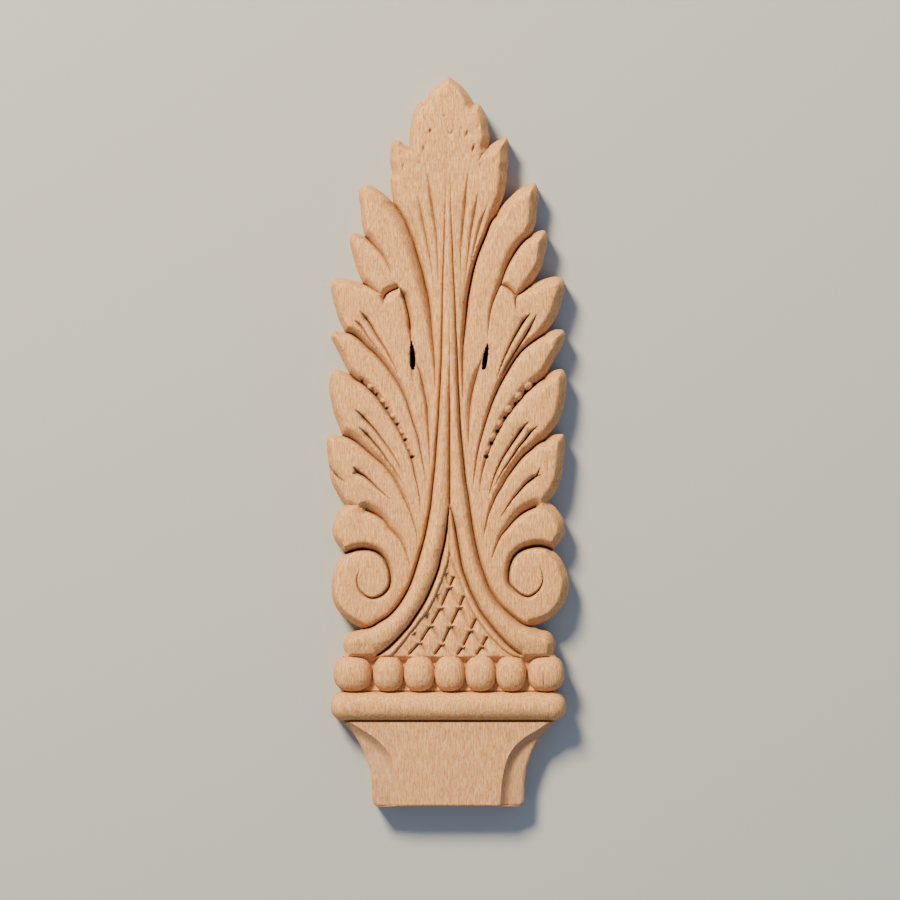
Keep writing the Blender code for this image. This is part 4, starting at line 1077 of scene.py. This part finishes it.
class Shader:
    """A new material and its nodes."""

    def __init__(self, name):
        self.material = bpy.data.materials.new(name)
        self.material.use_nodes = True
        self.tree = self.material.node_tree
        self.surface = self.tree.nodes["Principled BSDF"]

    @staticmethod
    def add_to(tree, kind, settings, inputs, output=0):
        """Adds a node: its settings first, then the values or links of its sockets."""
        node = tree.nodes.new(kind)
        for name, setting in settings.items():
            setattr(node, name, setting)
        for name, item in inputs.items():
            if isinstance(item, Value):
                tree.links.new(item.socket, node.inputs[name])
            else:
                node.inputs[name].default_value = item
        return Value(tree, node.outputs[output])

    def add(self, kind, settings=None, inputs=None, output=0):
        """Adds a node to this material."""
        return self.add_to(self.tree, kind, settings or {}, inputs or {}, output)

    def mesh_value(self, name):
        """A value that the mesh carries at each corner."""
        return self.add("ShaderNodeAttribute", {"attribute_name": name}, {}, "Fac")

    def mix(self, factor, first, second):
        """A colour between two colours."""
        return self.add("ShaderNodeMix", {"data_type": "RGBA"}, {0: factor, 6: first, 7: second}, 2)


# Each layer of grain: its stretch along x, y and z, detail and roughness, and the noise at which it
# starts and is full. Each mark: what the mesh carries, and where its tone starts and is full. The marks
# are painted shade, but for the chamfer's, which is partly painted shade.
GRAIN = {
    "clouds": ((60, 25, 60), 3.0, 0.5, 0.35, 0.68),
    "bands": ((650, 30, 650), 3.0, 0.5, 0.34, 0.66),
    "streaks": ((2800, 280, 2800), 3.0, 0.65, 0.42, 0.60),
    "pale": ((3100, 380, 3100), 2.0, 0.6, 0.48, 0.62),
    "flecks": ((2500, 800, 2500), 1.0, 0.4, 0.60, 0.66),
}
MARKS = {
    "chamfer": ("bevel", 0.0, 1.0),
    "shade": ("painted_recess", 0.0005, 0.0026),
    "cut": ("painted_core", 0.0, 0.75),
    "deepest_shade": ("painted_core", 0.55, 1.0),
}
FRESH_WOOD = (0.580, 0.300, 0.125, 1)
TONES = [
    ("clouds", 1.0, (0.530, 0.264, 0.103, 1)),
    ("bands", 0.35, (0.435, 0.205, 0.076, 1)),
    ("streaks", 0.70, (0.343, 0.164, 0.064, 1)),
    ("pale", 0.75, (0.660, 0.410, 0.213, 1)),
    ("flecks", 0.55, (0.310, 0.115, 0.035, 1)),
    # The last four tones paint shade: partly on the chamfers, then on slopes and low places, in cuts,
    # deepest.
    ("chamfer", 0.18, (0.250, 0.135, 0.070, 1)),
    ("shade", 0.48, (0.250, 0.155, 0.122, 1)),
    ("cut", 0.80, (0.120, 0.073, 0.060, 1)),
    ("deepest_shade", 0.92, (0.023, 0.012, 0.008, 1)),
]


def beech():
    """Streaks, flecks and pale lines are noise stretched along the grain, in object coordinates, and each
    tone is mixed over the ones before it by its layer times its share."""
    wood = Shader("carved_beech")
    place = wood.add("ShaderNodeTexCoord", {}, {}, "Object")
    layers = {}
    for name, (scale, detail, roughness, low_end, high_end) in GRAIN.items():
        stretched = wood.add("ShaderNodeMapping", {}, {"Vector": place, "Scale": scale})
        noise = wood.add("ShaderNodeTexNoise", {}, {
            "Vector": stretched, "Scale": 1.0, "Detail": detail, "Roughness": roughness})
        layers[name] = noise.between(low_end, high_end)
    for name, (carried, low_end, high_end) in MARKS.items():
        layers[name] = wood.mesh_value(carried).between(low_end, high_end)
    color = FRESH_WOOD
    for name, share, tone in TONES:
        color = wood.mix(layers[name] * share, color, tone)
    tree = wood.tree
    tree.links.new(color.socket, wood.surface.inputs["Base Color"])
    roughness = 0.62 + layers["streaks"] * 0.12
    tree.links.new(roughness.socket, wood.surface.inputs["Roughness"])
    wood.surface.inputs["Specular IOR Level"].default_value = 0.25
    relief = layers["pale"] * 0.5 - layers["streaks"] * 0.5 - layers["flecks"] * 0.4
    bump = wood.add("ShaderNodeBump", {}, {"Height": relief, "Strength": 0.45, "Distance": 0.00006}, "Normal")
    tree.links.new(bump.socket, wood.surface.inputs["Normal"])
    return wood.material


mesh.materials.append(beech())
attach(board, "root")
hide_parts("acanthus_finial")
